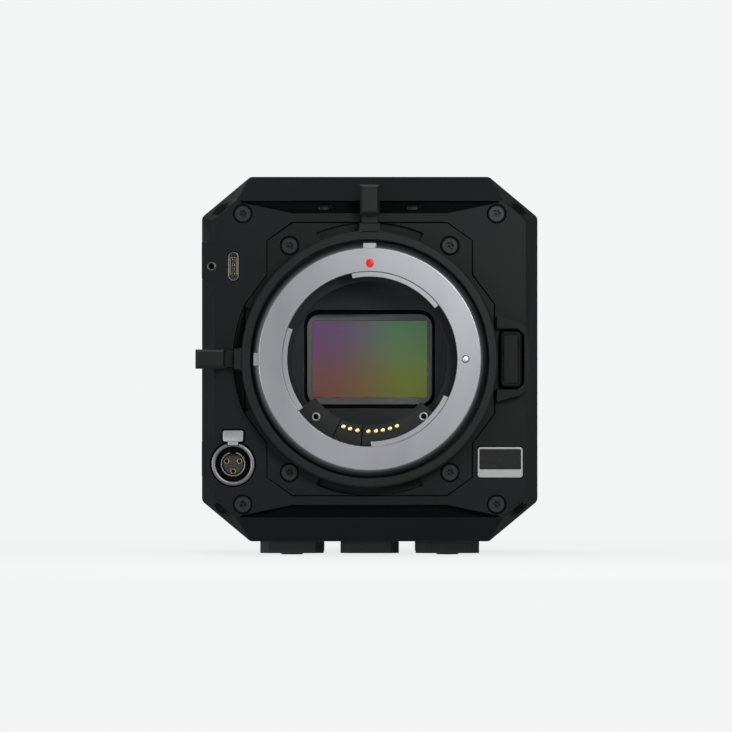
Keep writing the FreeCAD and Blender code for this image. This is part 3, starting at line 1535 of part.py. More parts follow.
def base_threads():
    half = S.base_thread_pitch / 2
    return [
        (as_size(0), BASE_PLATE_Y - half, S.quarter_thread_radius),
        (as_size(0), BASE_PLATE_Y + half, S.three_eighths_thread_radius),
        (-LAND_X, BASE_PLATE_Y, S.quarter_thread_radius),
        (LAND_X, BASE_PLATE_Y, S.quarter_thread_radius),
    ]


def rib_outline(first, second, half_first, half_second, gap):
    """A straight rib that takes a row of threads, wide enough for the threads' walls."""
    edge = S.thread_wall + gap
    return centred(first, second, (half_first + edge) * 2, (half_second + edge) * 2)


def side_rib(gap=0):
    return rib_outline(SIDE_PLATE_Y, S.side_plate_z, 0, S.side_thread_pitch / 2, gap)


def top_rib(gap=0):
    return rib_outline(0, TOP_PLATE_Y, 0, S.top_thread_pitch, gap)


def base_rib(gap=0):
    return rib_outline(0, BASE_PLATE_Y, LAND_X, S.base_thread_pitch / 2, gap)


def top_screw_places():
    x = S.top_plate_width / 2 - S.top_screw_inset
    y = TOP_PLATE_LENGTH / 2 - S.top_screw_inset
    return [(x * side, TOP_PLATE_Y + y * end) for side in (-1, 1) for end in (-1, 1)]


def base_screw_places():
    x = (S.land_centre_half_width + S.land_inner_x) / 2
    y = BASE_PLATE_LENGTH / 2 - S.base_screw_inset
    return [(x * side, BASE_PLATE_Y + y * end) for side in (-1, 1) for end in (-1, 1)]


def make_side_mount_plate():
    front = -HALF_WIDTH
    outline = side_rectangle(SIDE_PLATE_Y, S.side_plate_z, S.side_plate_length, S.side_plate_height,
                             -S.fit_gap)
    plate = prism("x", outline, front, front + S.insert_depth, name="side_plate_blank")
    end = front + S.thread_depth
    rib = prism("x", side_rib(), front + OVER, end, name="side_rib")
    holes = [
        rod("x", y, z, S.quarter_thread_radius, front - OVER, end + OVER, "side_thread")
        for y, z in side_threads()
    ]
    solid = cut(join([plate, rib], "side_plate_solid"), holes, "side_plate_body")
    floor = prism("x", side_rib(), end, end + S.thread_floor, name="side_thread_floor")
    return publish(group([solid, floor], "side_mount_plate"), "side_mount_plate")


def make_top_plate():
    top = HALF_HEIGHT
    gap = S.fit_gap * 2
    plate = prism("z", centred(0, TOP_PLATE_Y, S.top_plate_width - gap, TOP_PLATE_LENGTH - gap),
                  top - S.insert_depth, top, S.plate_corner, "top_plate_blank")
    end = top - S.thread_depth
    rib = prism("z", top_rib(), end, top - OVER, name="top_rib")
    holes = [
        rod("z", x, y, S.quarter_thread_radius, end - OVER, top + OVER, "top_thread")
        for x, y in top_threads()
    ]
    holes += countersinks("z", top_screw_places(), top, S.plate_screw_head_height,
                          S.plate_screw_head_radius,
                          S.plate_screw_shank_radius, top - S.insert_depth - OVER, 1)
    solid = cut(join([plate, rib], "top_plate_solid"), holes, "top_plate_body")
    floor = prism("z", top_rib(), end - S.thread_floor, end, name="top_thread_floor")
    return publish(group([solid, floor], "top_plate"), "top_plate")


def land(low_x, high_x):
    """One of the three mounting lands, its plan corners cut back."""
    low_y = BASE_PLATE_START + S.land_end_inset
    high_y = BASE_PLATE_END - S.land_end_inset
    corner = S.land_corner
    points = [
        (low_x + corner, low_y), (high_x - corner, low_y), (high_x, low_y + corner), (high_x,
                                                                                      high_y - corner),
        (high_x - corner, high_y), (low_x + corner, high_y), (low_x, high_y - corner), (low_x,
                                                                                        low_y + corner),
    ]
    return prism("z", points, -HALF_HEIGHT - S.land_height, -HALF_HEIGHT, name="land")


def foot_places():
    y = BASE_PLATE_LENGTH / 2 - S.foot_end_inset
    return [(LAND_X * side, BASE_PLATE_Y + y * end) for side in (-1, 1) for end in (-1, 1)]


def make_base_plate():
    bottom = -HALF_HEIGHT
    face = bottom - S.land_height
    gap = S.fit_gap * 2
    plate = prism("z", centred(0, BASE_PLATE_Y, BASE_PLATE_WIDTH - gap, BASE_PLATE_LENGTH - gap), bottom,
                  bottom + S.insert_depth, S.plate_corner, "base_plate_blank")
    lands = [
        land(-LAND_OUTER_X, -S.land_inner_x),
        land(-S.land_centre_half_width, S.land_centre_half_width),
        land(S.land_inner_x, LAND_OUTER_X),
    ]
    end = face + S.thread_depth
    rib = prism("z", base_rib(), bottom, end, name="base_rib")
    holes = [
        rod("z", x, y, radius, face - OVER, end + OVER, "base_thread") for x, y, radius in base_threads()
    ]
    holes += [rod("z", x, y, S.foot_radius, face - OVER, face + S.foot_sunk, "foot_seat") for x,
              y in foot_places()]
    holes += countersinks("z", base_screw_places(), bottom, S.plate_screw_head_height,
                          S.plate_screw_head_radius,
                          S.plate_screw_shank_radius, bottom + S.insert_depth + OVER, -1)
    solid = cut(join([plate, rib] + lands, "base_plate_solid"), holes, "base_plate_body")
    floor = prism("z", base_rib(), end, end + S.thread_floor, name="base_thread_floor")
    return publish(group([solid, floor], "base_plate"), "base_plate")


def make_rubber_feet():
    face = -HALF_HEIGHT - S.land_height
    feet = [rod("z", x, y, S.foot_radius, face - S.foot_proud, face + S.foot_sunk, "foot") for x,
            y in foot_places()]
    return publish(group(feet, "rubber_feet"), "rubber_feet")


# The side screen and its controls

def make_screen_bezel():
    right = HALF_WIDTH
    frame = prism("x", side_rectangle(SCREEN_Y, SCREEN_Z, SCREEN_LENGTH, S.screen_height, -S.fit_gap),
                  right - S.bezel_thickness, right, S.screen_corner, "bezel_blank")
    border = S.bezel_border * 2
    seat = prism("x", side_rectangle(SCREEN_Y, SCREEN_Z, SCREEN_LENGTH - border, S.screen_height - border),
                 right - S.glass_sunk - S.glass_thickness, right + OVER, S.glass_corner, "glass_seat")
    return publish(cut(frame, [seat], "screen_bezel"), "screen_bezel")


def make_screen_glass():
    border = S.bezel_border * 2
    back = HALF_WIDTH - S.glass_sunk - S.glass_thickness
    glass = prism("x", side_rectangle(SCREEN_Y, SCREEN_Z, SCREEN_LENGTH - border, S.screen_height - border,
                                      -S.fit_gap), back, back + S.glass_thickness, S.glass_corner,
                  "screen_glass")
    return publish(glass, "screen_glass")


def key_places():
    start = COVER_Y + S.key_front_gap
    end = HOUSING_END_Y - S.key_rear_gap
    count = int(S.key_count.value)
    return [start + (end - start) * (number / (count - 1)) for number in range(count)]


def make_record_button():
    low = INNER_X - S.moving_gap
    cap = rod("x", RECORD_Y, CONTROL_Z, S.record_radius, low, HALF_WIDTH - S.key_sunk, "record_cap")
    lip = rod("x", RECORD_Y, CONTROL_Z, S.record_radius + S.key_lip + S.moving_gap, low - S.key_lip, low,
              "record_lip")
    return publish(join([cap, lip], "record_button"), "record_button")


def make_function_keys():
    low = INNER_X - S.moving_gap
    for number, y in enumerate(key_places(), start=1):
        cap = prism("x", side_rectangle(y, CONTROL_Z, S.key_length, S.key_height), low,
                    HALF_WIDTH - S.key_sunk, S.key_corner, "key_cap")
        lip = prism("x", side_rectangle(y, CONTROL_Z, S.key_length, S.key_height, S.key_lip + S.moving_gap),
                    low - S.key_lip, low, S.key_corner, "key_lip")
        publish(join([cap, lip], "function_key"), f"function_key_{number}")


def make_power_switch():
    start = RECORD_Y - SWITCH_SLOT_LENGTH / 2 + S.moving_gap
    inner = INNER_X - S.moving_gap
    half = S.switch_slot_height / 2 - S.moving_gap
    knob = block((inner, HALF_WIDTH - S.switch_sunk), (start, start + S.switch_length),
                 (SWITCH_Z - half, SWITCH_Z + half), "switch_knob")
    tail = block((inner - S.key_lip, inner), (start, start + S.switch_length),
                 (SWITCH_Z - half - S.switch_tail_lip, SWITCH_Z + half + S.switch_tail_lip), "switch_tail")
    return publish(join([knob, tail], "power_switch"), "power_switch")


# Sockets and trim on the face

def usb_shell(x, z, front):
    wall = S.usb_wall
    outer = prism("y", usb_outline(x, z), front, front + S.usb_depth, usb_round(), "usb_outer")
    floor = front + S.usb_depth - S.usb_back_wall
    inner = prism("y", usb_outline(x, z, -wall), front - OVER, floor, usb_round(-wall), "usb_inner")
    return cut(outer, [inner], "usb_shell")


def rear_usb_front():
    return REAR_Y - S.usb_depth


def make_usb_sockets():
    front = usb_shell(USB_X, USB_Z, FACE_Y)
    x = COLUMN_X
    wall = S.usb_wall
    outer = prism("y", usb_outline(x, S.rear_usb_z), BOARD_BACK_Y, REAR_Y, usb_round(), "usb_outer")
    inner = prism("y", usb_outline(x, S.rear_usb_z, -wall), rear_usb_front(), REAR_Y + OVER,
                  usb_round(-wall), "usb_inner")
    return publish(group([front, cut(outer, [inner], "rear_usb")], "usb_sockets"), "usb_sockets")


def make_usb_tongues():
    half_width = S.usb_tongue_width / 2
    half_height = S.usb_tongue_height / 2
    front_levels = (FACE_Y + S.usb_tongue_sunk, FACE_Y + S.usb_depth - S.usb_back_wall)
    front = block((USB_X - half_width, USB_X + half_width), front_levels,
                  (USB_Z - half_height, USB_Z + half_height), "front_tongue")
    rear = block((COLUMN_X - half_width, COLUMN_X + half_width),
                 (rear_usb_front(), REAR_Y - S.usb_tongue_sunk),
                 (S.rear_usb_z - half_height, S.rear_usb_z + half_height), "rear_tongue")
    return publish(group([front, rear], "usb_tongues"), "usb_tongues")


def make_xlr_shell():
    x, z = XLR_X, XLR_Z
    front = XLR_Y
    back = XLR_END_Y
    floor = back - S.xlr_floor
    blank = rod("y", x, z, S.xlr_radius, front, back, "xlr_blank")
    gap = cut(rod("y", x, z, S.xlr_inner_radius, front - OVER, floor, "xlr_gap"),
              [rod("y", x, z, S.xlr_ring_radius, front - 2 * OVER, floor + OVER, "xlr_keep")], "xlr_annulus")
    core = rod("y", x, z, S.xlr_core_radius, front - OVER, floor, "xlr_core")
    return publish(cut(blank, [gap, core], "xlr_shell"), "xlr_shell")


def xlr_contact_places():
    places = []
    for angle in XLR_ANGLES:
        dx, dz = at_angle(S.xlr_contact_circle, angle)
        places.append((XLR_X + dx, XLR_Z + dz))
    return places


def make_xlr_insert():
    front = XLR_Y + S.xlr_core_sunk
    floor = XLR_END_Y - S.xlr_floor
    core = rod("y", XLR_X, XLR_Z, S.xlr_core_radius - S.running_gap, front, floor, "insert_core")
    holes = [
        rod("y", x, z, S.xlr_contact_radius, front - OVER, floor + OVER, "contact_hole")
        for x, z in xlr_contact_places()
    ]
    return publish(cut(core, holes, "xlr_insert"), "xlr_insert")


def make_xlr_contacts():
    front = XLR_Y + S.xlr_core_sunk
    floor = XLR_END_Y - S.xlr_floor
    contacts = []
    for x, z in xlr_contact_places():
        tube = rod("y", x, z, S.xlr_contact_radius, front, floor, "contact_blank")
        hole = rod("y", x, z, S.xlr_contact_hole, front - OVER, floor - OVER, "contact_bore")
        contacts.append(cut(tube, [hole], "contact"))
    return publish(group(contacts, "xlr_contacts"), "xlr_contacts")


def make_xlr_latch():
    tab = prism("y", latch_outline(), LATCH_Y, LATCH_Y + S.latch_depth, S.latch_corner, "xlr_latch")
    return publish(tab, "xlr_latch")


def make_badge_plate():
    back = FACE_Y + S.badge_sunk
    badge = prism("y", badge_outline(), back - S.badge_thickness, back, S.badge_corner, "badge_plate")
    return publish(badge, "badge_plate")


def make_microphones():
    capsules = [
        rod("y", S.mic_x * side, MIC_Z, S.mic_radius, WALL_Y, WALL_Y + S.mic_length,
            "capsule") for side in (1, -1)
    ]
    return publish(group(capsules, "microphones"), "microphones")


# Main board, rear sockets and battery plate

def make_main_board():
    outline = centred(0, 0, BOARD_HALF_WIDTH * 2, BOARD_HALF_HEIGHT * 2)
    board = prism("y", outline, BOARD_Y, BOARD_BACK_Y, S.board_corner, "main_board")
    return publish(board, "main_board")


def make_bnc_connector():
    x, z = COLUMN_X, S.bnc_z
    nut_end = REAR_Y + S.bnc_nut_thickness
    end = nut_end + S.bnc_length
    nut_points = [
        (x + S.bnc_nut_radius * cosine(60 * step),
         z + S.bnc_nut_radius * sine(60 * step)) for step in range(6)
    ]
    nut = prism("y", nut_points, REAR_Y, nut_end, name="bnc_nut")
    barrel = rod("y", x, z, S.bnc_radius, BOARD_BACK_Y, end, "bnc_barrel")
    reach = S.bnc_radius + S.bnc_lug_reach
    lug = rod("x", end - S.bnc_lug_inset, z, S.bnc_lug_radius, x - reach, x + reach, "bnc_lugs")
    bore = rod("y", x, z, S.bnc_bore, nut_end, end + OVER, "bnc_bore")
    pin = rod("y", x, z, S.bnc_pin_radius, nut_end - OVER, end - S.bnc_pin_sunk, "bnc_pin")
    shell = cut(join([nut, barrel, lug], "bnc_solid"), [bore], "bnc_shell")
    return publish(join([shell, pin], "bnc_connector"), "bnc_connector")


def make_network_socket():
    x, z = COLUMN_X, S.network_z
    case = prism("y", centred(x, z, S.network_width, S.network_height), BOARD_BACK_Y, REAR_Y,
                 name="network_case")
    mouth = prism("y", centred(x, z, S.network_opening_width, S.network_opening_height),
                  REAR_Y - S.network_depth,
                  REAR_Y + OVER, name="network_mouth")
    return publish(cut(case, [mouth], "network_socket"), "network_socket")


def make_dc_socket():
    x, z = -COLUMN_X, S.dc_z
    end = REAR_Y + S.dc_proud
    blank = rod("y", x, z, S.dc_radius, BOARD_BACK_Y, end, "dc_blank")
    well = rod("y", x, z, S.dc_core_radius, end - S.dc_depth, end + OVER, "dc_well")
    pins = [
        rod("y", x + S.dc_pin_offset * side, z, S.dc_pin_radius, REAR_Y - S.dc_depth, REAR_Y, "dc_pin")
        for side in (-1, 1)
    ]
    return publish(join([cut(blank, [well], "dc_shell")] + pins, "dc_socket"), "dc_socket")


def make_audio_jacks():
    jacks = []
    for z in (S.jack_low_z, S.jack_high_z):
        blank = rod("y", -COLUMN_X, z, S.jack_radius, BOARD_BACK_Y, REAR_Y, "jack_blank")
        bore = rod("y", -COLUMN_X, z, S.jack_bore, REAR_Y - S.jack_depth, REAR_Y + OVER, "jack_bore")
        jacks.append(cut(blank, [bore], "jack"))
    return publish(group(jacks, "audio_jacks"), "audio_jacks")


def battery_latch_outline(gap=0):
    return centred(0, BATTERY_LATCH_Z, S.battery_latch_width + as_size(gap) * 2,
                   S.battery_latch_height + as_size(gap) * 2)


def contact_blade_places():
    half = S.blade_spacing * (S.contact_blade_count - 1) / 2
    return [S.blade_spacing * number - half for number in range(int(S.contact_blade_count.value))]


def make_battery_plate():
    """A shallow tray with grooved rails that the battery slides down between."""
    half = S.battery_width / 2
    rail = S.battery_rail
    root = REAR_Y + OVER
    rim = BATTERY_FLOOR_Y + S.battery_rail_height
    lip_front = rim - S.battery_lip_thickness
    low = BATTERY_LOW
    rail_low = low + S.battery_corner
    rail_high = BATTERY_HIGH - S.battery_mouth
    outline = rectangle(-half, half, low, BATTERY_HIGH)
    solids = [prism("y", outline, REAR_Y, BATTERY_FLOOR_Y, S.battery_corner, "tray_floor")]
    for side in (-1, 1):
        outer, inner, tip = half * side, (half - rail) * side, (half - rail - S.battery_lip) * side
        rail_x = (outer, inner) if side < 0 else (inner, outer)
        lip_x = (outer, tip) if side < 0 else (tip, outer)
        solids.append(block(rail_x, (root, rim), (rail_low, rail_high), "rail"))
        solids.append(block(lip_x, (lip_front, rim), (rail_low, rail_high), "lip"))
    solids.append(block((S.battery_corner - half, half - S.battery_corner), (root, rim), (low, low + rail),
                        "end_stop"))
    tools = [prism("y", battery_latch_outline(S.moving_gap), REAR_Y - OVER, BATTERY_FLOOR_Y + OVER,
                   name="tray_latch_hole")]
    width = S.blade_width / 2
    height = S.blade_height / 2
    for x in contact_blade_places():
        tools.append(block((x - width, x + width), (root, BATTERY_FLOOR_Y + OVER),
                           (CONTACT_BLADE_Z - height, CONTACT_BLADE_Z + height), "blade_slot"))
    return publish(cut(join(solids, "tray_solid"), tools, "battery_plate"), "battery_plate")


def make_battery_latch():
    end = BATTERY_FLOOR_Y + S.battery_latch_travel + S.fit_gap
    root_end = REAR_WALL_Y - S.moving_gap
    body = prism("y", battery_latch_outline(), root_end, end, S.battery_latch_lip, "latch_body")
    doc.recompute()
    upper = BATTERY_LATCH_Z + S.battery_latch_lip
    edge = edges_where(
        body.Shape,
        lambda middle: middle.y > end.value - CLOSE and middle.z > upper.value,
    )
    bevel_edges(body, body.Tip, edge, S.battery_latch_ramp, "latch_ramp")
    root = prism("y", battery_latch_outline(S.battery_latch_lip), root_end - S.battery_latch_root, root_end,
                 name="latch_root")
    return publish(join([body, root], "battery_latch"), "battery_latch")


def make_battery_contacts():
    width = S.blade_width / 2
    height = S.blade_height / 2
    blades = [
        block((x - width, x + width), (REAR_Y + OVER, BATTERY_FLOOR_Y + S.blade_proud),
              (CONTACT_BLADE_Z - height, CONTACT_BLADE_Z + height), "blade")
        for x in contact_blade_places()
    ]
    return publish(group(blades, "battery_contacts"), "battery_contacts")


def make_screws():
    head = S.screw_head_radius
    height = S.screw_head_height
    shank = S.screw_shank_radius
    under = FACE_Y + HEAD_DEPTH
    screw_set("face_screws", "y", BODY_SCREWS, under, S.face_screw_length, head, height, shank, -1)
    screw_set("mount_screws", "y", MOUNT_SCREWS, under, S.mount_screw_length, head, height, shank, -1)
    screw_set("rear_screws", "y", BODY_SCREWS, REAR_Y - HEAD_DEPTH, S.rear_screw_length, head, height,
              shank, 1)
    small_head = S.plate_screw_head_radius
    small_height = S.plate_screw_head_height
    small_shank = S.plate_screw_shank_radius
    top = HALF_HEIGHT - small_height
    screw_set("top_screws", "z", top_screw_places(), top, S.plate_screw_length - small_height, small_head,
              small_height, small_shank, 1)
    base = small_height - HALF_HEIGHT
    screw_set("base_screws", "z", base_screw_places(), base, S.plate_screw_length - small_height,
              small_head,
              small_height, small_shank, -1)


def make_all():
    make_front_cover()
    make_main_housing()
    make_rear_cover()
    make_mount_plate()
    make_mount_flange()
    make_index_dot()
    make_lens_lock_pin()
    make_locking_ring()
    make_release_button()
    make_contact_block()
    make_contact_pins()
    make_contact_rivets()
    make_light_baffle()
    make_chamber_plate()
    make_filter_holder()
    make_filter_glass()
    make_sensor_package()
    make_sensor_array()
    make_sensor_board()
    make_heat_spreader()
    make_heat_sink()
    make_fan_housing()
    make_fan_rotor()
    make_side_vent()
    make_media_door()
    make_media_door_pin()
    make_card_reader()
    make_side_mount_plate()
    make_top_plate()
    make_base_plate()
    make_rubber_feet()
    make_screen_bezel()
    make_screen_glass()
    make_record_button()
    make_function_keys()
    make_power_switch()
    make_usb_sockets()
    make_usb_tongues()
    make_xlr_shell()
    make_xlr_insert()
    make_xlr_contacts()
    make_xlr_latch()
    make_badge_plate()
    make_microphones()
    make_main_board()
    make_bnc_connector()
    make_network_socket()
    make_dc_socket()
    make_audio_jacks()
    make_battery_plate()
    make_battery_latch()
    make_battery_contacts()
    make_screws()


def check_and_write():
    """Writes each piece to its own file once every object and every shape is sound."""
    doc.recompute()
    failed = [item.Name for item in doc.Objects if "Invalid" in item.State or "Error" in item.State]
    if failed:
        raise RuntimeError(f"objects that failed: {failed}")
    for part in PARTS:
        if part.Shape.isNull() or not part.Shape.isValid():
            raise RuntimeError(f"the shape of {part.Label} isn't sound")
    os.makedirs("parts", exist_ok=True)
    for part in PARTS:
        part.Shape.exportStep(f"parts/{part.Label}.step")
        print(part.Label, len(part.Shape.Solids), "solids", round(part.Shape.Volume, 1), "mm3")
    print(len(PARTS), "pieces written")


make_all()
check_and_write()
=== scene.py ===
"""A box-shaped cinema camera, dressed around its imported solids.

Sizes are in millimetres from the optical axis and the front of the lens flange, and the finished meshes are
in metres: X to the screen side, Y back through the camera, Z up. The lens mount faces -Y.
"""

import logging
import math
from collections.abc import Callable, Iterator, Sequence
from contextlib import contextmanager
from dataclasses import dataclass
from enum import Enum
from typing import ClassVar

import bmesh
import bpy
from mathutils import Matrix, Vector


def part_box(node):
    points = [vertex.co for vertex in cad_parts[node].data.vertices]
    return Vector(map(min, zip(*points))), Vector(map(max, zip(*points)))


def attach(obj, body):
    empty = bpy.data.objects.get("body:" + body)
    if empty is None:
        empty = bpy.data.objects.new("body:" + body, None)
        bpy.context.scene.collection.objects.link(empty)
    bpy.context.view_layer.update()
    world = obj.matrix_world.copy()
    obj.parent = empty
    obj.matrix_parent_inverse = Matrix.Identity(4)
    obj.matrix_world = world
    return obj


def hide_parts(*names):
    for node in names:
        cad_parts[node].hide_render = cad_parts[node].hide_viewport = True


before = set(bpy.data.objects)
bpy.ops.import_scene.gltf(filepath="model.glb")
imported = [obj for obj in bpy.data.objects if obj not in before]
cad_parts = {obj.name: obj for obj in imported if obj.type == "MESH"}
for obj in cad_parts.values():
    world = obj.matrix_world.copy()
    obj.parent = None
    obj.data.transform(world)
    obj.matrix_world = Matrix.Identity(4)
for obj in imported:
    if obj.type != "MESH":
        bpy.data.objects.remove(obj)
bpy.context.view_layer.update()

MM = 0.001
Colour = tuple[float, float, float]
Pair = tuple[float, float]
Triple = tuple[float, float, float]
Test = Callable[[Vector, Vector], bool]
log = logging.getLogger("camera")

# Turned and cut pieces keep edges sharper than this many degrees
CRISP = 40.0
# A copied solid's edges are rounded from this many degrees on
SEAM = 14.0
# A face looks along an axis when its normal has at least this share of it
FACING = 0.9
# How many faces round a corner of a drawn outline
CORNER_STEPS = 6
# The lobes of a driver's socket, the points round it, and its mean radius and swing as shares
LOBES, LOBE_STEPS = 6, 48
LOBE_MIDDLE, LOBE_SWING = 0.86, 0.14
# The first screw's turn and the further turn of each next one, in radians
DRIVEN, DRIVEN_STEP = 0.4, 0.83


class Axis(Enum):
    """The direction that a turned or drawn piece runs along, as the turn from +Y."""

    X = (0.0, 0.0, -math.pi / 2)
    Y = (0.0, 0.0, 0.0)
    Z = (math.pi / 2, 0.0, 0.0)


class Pick(Enum):
    """What an edit-mode selection is made of."""

    VERTS = (True, False, False)
    EDGES = (False, True, False)
    FACES = (False, False, True)


# Modelling by hand: one object at a time, in millimetres


def deselect() -> None:
    """Leaves edit mode and selects nothing."""
    if bpy.context.mode != "OBJECT":
        bpy.ops.object.mode_set(mode="OBJECT")
    bpy.ops.object.select_all(action="DESELECT")


def hold(*things: bpy.types.Object) -> None:
    """Selects these objects alone, the first one active."""
    deselect()
    for thing in things:
        thing.select_set(True)
    bpy.context.view_layer.objects.active = things[0]


@contextmanager
def editing(thing: bpy.types.Object) -> Iterator[bmesh.types.BMesh]:
    """Edit mode on one object, with nothing selected in its mesh.

    Args:
        thing: The mesh object to edit.

    Returns:
        The edit mesh, in which faces and edges are picked.
    """
    hold(thing)
    bpy.ops.object.mode_set(mode="EDIT")
    bpy.context.tool_settings.mesh_select_mode = Pick.VERTS.value
    bpy.ops.mesh.select_all(action="DESELECT")
    yield bmesh.from_edit_mesh(thing.data)
    bpy.ops.object.mode_set(mode="OBJECT")


def choose(mesh: bmesh.types.BMesh, thing: bpy.types.Object, kind: Pick, test: Test) -> None:
    """Selects the parts of an edit mesh that pass a test, and nothing else.

    Args:
        mesh: The edit mesh of the object.
        thing: The object in edit mode.
        kind: What is selected.
        test: Takes a part's middle in millimetres and its normal, or an edge's direction.
    """
    bpy.context.tool_settings.mesh_select_mode = kind.value
    parts = {Pick.VERTS: mesh.verts, Pick.EDGES: mesh.edges, Pick.FACES: mesh.faces}[kind]
    parts.ensure_lookup_table()
    for part in mesh.verts[:] + mesh.edges[:] + mesh.faces[:]:
        part.select = False
    for part in parts:
        if kind is Pick.VERTS:
            middle, normal = part.co, part.normal
        elif kind is Pick.EDGES:
            middle = (part.verts[0].co + part.verts[1].co) / 2
            normal = part.verts[1].co - part.verts[0].co
        else:
            middle, normal = part.calc_center_median(), part.normal
        if test(middle / MM, normal):
            part.select_set(True)
    mesh.select_flush_mode()
    bmesh.update_edit_mesh(thing.data)


def push(x: float = 0.0, y: float = 0.0, z: float = 0.0) -> None:
    """Extrudes the selection and moves it by millimetres."""
    bpy.ops.mesh.extrude_region_move(TRANSFORM_OT_translate={"value": (x * MM, y * MM, z * MM)})


def scale_to(x: float = 1.0, y: float = 1.0, z: float = 1.0) -> None:
    """Scales the selection about the origin."""
    bpy.ops.transform.resize(value=(x, y, z), center_override=(0.0, 0.0, 0.0))


def inset(width: float, depth: float = 0.0) -> None:
    """Insets the selected faces and moves them along their normals, in millimetres."""
    bpy.ops.mesh.inset(thickness=width * MM, depth=depth * MM)


def shift(y: float) -> None:
    """Moves the selection along Y by millimetres."""
    bpy.ops.transform.translate(value=(0, y * MM, 0))


def is_front(middle: Vector, normal: Vector) -> bool:
    """Whether a face looks forward."""
    return normal.y < -FACING


def settle_in_place(thing: bpy.types.Object) -> None:
    """Keeps a piece's place, turn and size in its mesh."""
    hold(thing)
    bpy.ops.object.transform_apply(location=True, rotation=True, scale=True)


def settle(thing: bpy.types.Object, place: Triple = (0.0, 0.0, 0.0),
           turn: Triple = (0.0, 0.0, 0.0)) -> None:
    """Turns and moves a piece, then keeps its place in its mesh, with its object at the origin."""
    thing.location = tuple(v * MM for v in place)
    thing.rotation_euler = turn
    settle_in_place(thing)


def link(thing: bpy.types.Object) -> bpy.types.Object:
    """Puts a new object into the scene."""
    bpy.context.scene.collection.objects.link(thing)
    return thing


def copy_of(thing: bpy.types.Object) -> bpy.types.Object:
    """A copy of a piece, with its own mesh."""
    copy = thing.copy()
    copy.data = thing.data.copy()
    return link(copy)


def mend(thing: bpy.types.Object, near: float = 0.0005) -> None:
    """Merges doubles and turns every face outwards."""
    with editing(thing):
        bpy.ops.mesh.select_all(action="SELECT")
        bpy.ops.mesh.remove_doubles(threshold=near * MM)
        bpy.ops.mesh.normals_make_consistent(inside=False)


def smooth(thing: bpy.types.Object, angle: float = 32.0) -> bpy.types.Object:
    """Shades a piece smooth across edges flatter than an angle in degrees."""
    hold(thing)
    bpy.ops.object.shade_smooth_by_angle(angle=math.radians(angle))
    return thing


def soften(thing: bpy.types.Object, width: float, segments: int = 2, angle: float = 30.0,
           clamp: bool = True) -> bpy.types.Object:
    """Rounds a piece's sharp edges.

    Args:
        thing: The piece.
        width: The rounding's width in millimetres.
        segments: How many faces go round each edge.
        angle: The least angle in degrees at which an edge is rounded.
        clamp: Whether a rounding that would meet another is made smaller.

    Returns:
        The same piece, its roundings shaded smooth and its faces flat.
    """
    smooth(thing, angle)
    edge = thing.modifiers.new("rounding", "BEVEL")
    edge.width = width * MM
    edge.segments = segments
    edge.limit_method = "ANGLE"
    edge.angle_limit = math.radians(angle)
    edge.use_clamp_overlap = clamp
    edge.harden_normals = True
    bpy.ops.object.modifier_apply(modifier=edge.name)
    return thing


def carve(thing: bpy.types.Object, *tools: bpy.types.Object) -> bpy.types.Object:
    """Cuts the tools out of a piece and clears them away."""
    for tool in tools:
        hold(thing)
        cutter = thing.modifiers.new("cut", "BOOLEAN")
        cutter.operation = "DIFFERENCE"
        cutter.solver = "EXACT"
        cutter.object = tool
        bpy.ops.object.modifier_apply(modifier=cutter.name)
        bpy.data.objects.remove(tool)
    return thing


def weld(name: str, *things: bpy.types.Object) -> bpy.types.Object:
    """Makes several meshes one object with a name."""
    hold(*things)
    if len(things) > 1:
        bpy.ops.object.join()
    things[0].name = things[0].data.name = name
    return things[0]


def spread(thing: bpy.types.Object, name: str, places: Sequence[Triple],
           turns: Sequence[Triple] | None = None) -> bpy.types.Object:
    """Copies a piece to each place, each copy with its own mesh, and joins the copies.

    Args:
        thing: The piece, modelled round the origin. It is used up.
        name: The name of the joined piece.
        places: Where each copy goes, in millimetres.
        turns: How each copy is turned, in radians.

    Returns:
        The joined piece.
    """
    copies = []
    for index, place in enumerate(places):
        copies.append(copy_of(thing))
        settle(copies[-1], place, turns[index] if turns else (0.0, 0.0, 0.0))
    bpy.data.objects.remove(thing)
    return weld(name, *copies)


def turned(name: str, profile: Sequence[Pair], steps: int = 96, axis: Axis = Axis.Y,
           place: Triple = (0.0, 0.0, 0.0), closed: bool = False) -> bpy.types.Object:
    """A round piece, drawn on from a circle through a profile of radius and level.

    Args:
        name: The piece's name.
        profile: Pairs of radius and level in millimetres. A radius of 0 closes that end in a point.
        steps: How many sides go round.
        axis: What the piece is turned about.
        place: Where its axis and level 0 go.
        closed: Whether the profile runs back to its start, as a ring's section does.

    Returns:
        The piece, its ends filled where they are open.
    """
    deselect()
    radius, level = profile[0]
    bpy.ops.mesh.primitive_circle_add(vertices=steps, radius=radius * MM, fill_type="NOTHING",
                                      location=(0, level * MM, 0), rotation=(math.pi / 2, 0, 0))
    thing = bpy.context.object
    settle_in_place(thing)
    with editing(thing):
        bpy.ops.mesh.select_all(action="SELECT")
        if not closed:
            bpy.ops.mesh.edge_face_add()
            bpy.ops.mesh.select_all(action="SELECT")
        for after, further in profile[1:]:
            if after == 0:
                push(0, further - level, 0)
                bpy.ops.mesh.merge(type="CENTER")
                break
            push(0, further - level, 0)
            scale_to(after / radius, 1.0, after / radius)
            radius, level = after, further
        if closed:
            bpy.ops.mesh.select_all(action="DESELECT")
            bpy.context.tool_settings.mesh_select_mode = Pick.EDGES.value
            bpy.ops.mesh.select_non_manifold()
            bpy.ops.mesh.bridge_edge_loops()
    mend(thing)
    settle(thing, place, axis.value)
    thing.name = thing.data.name = name
    return thing


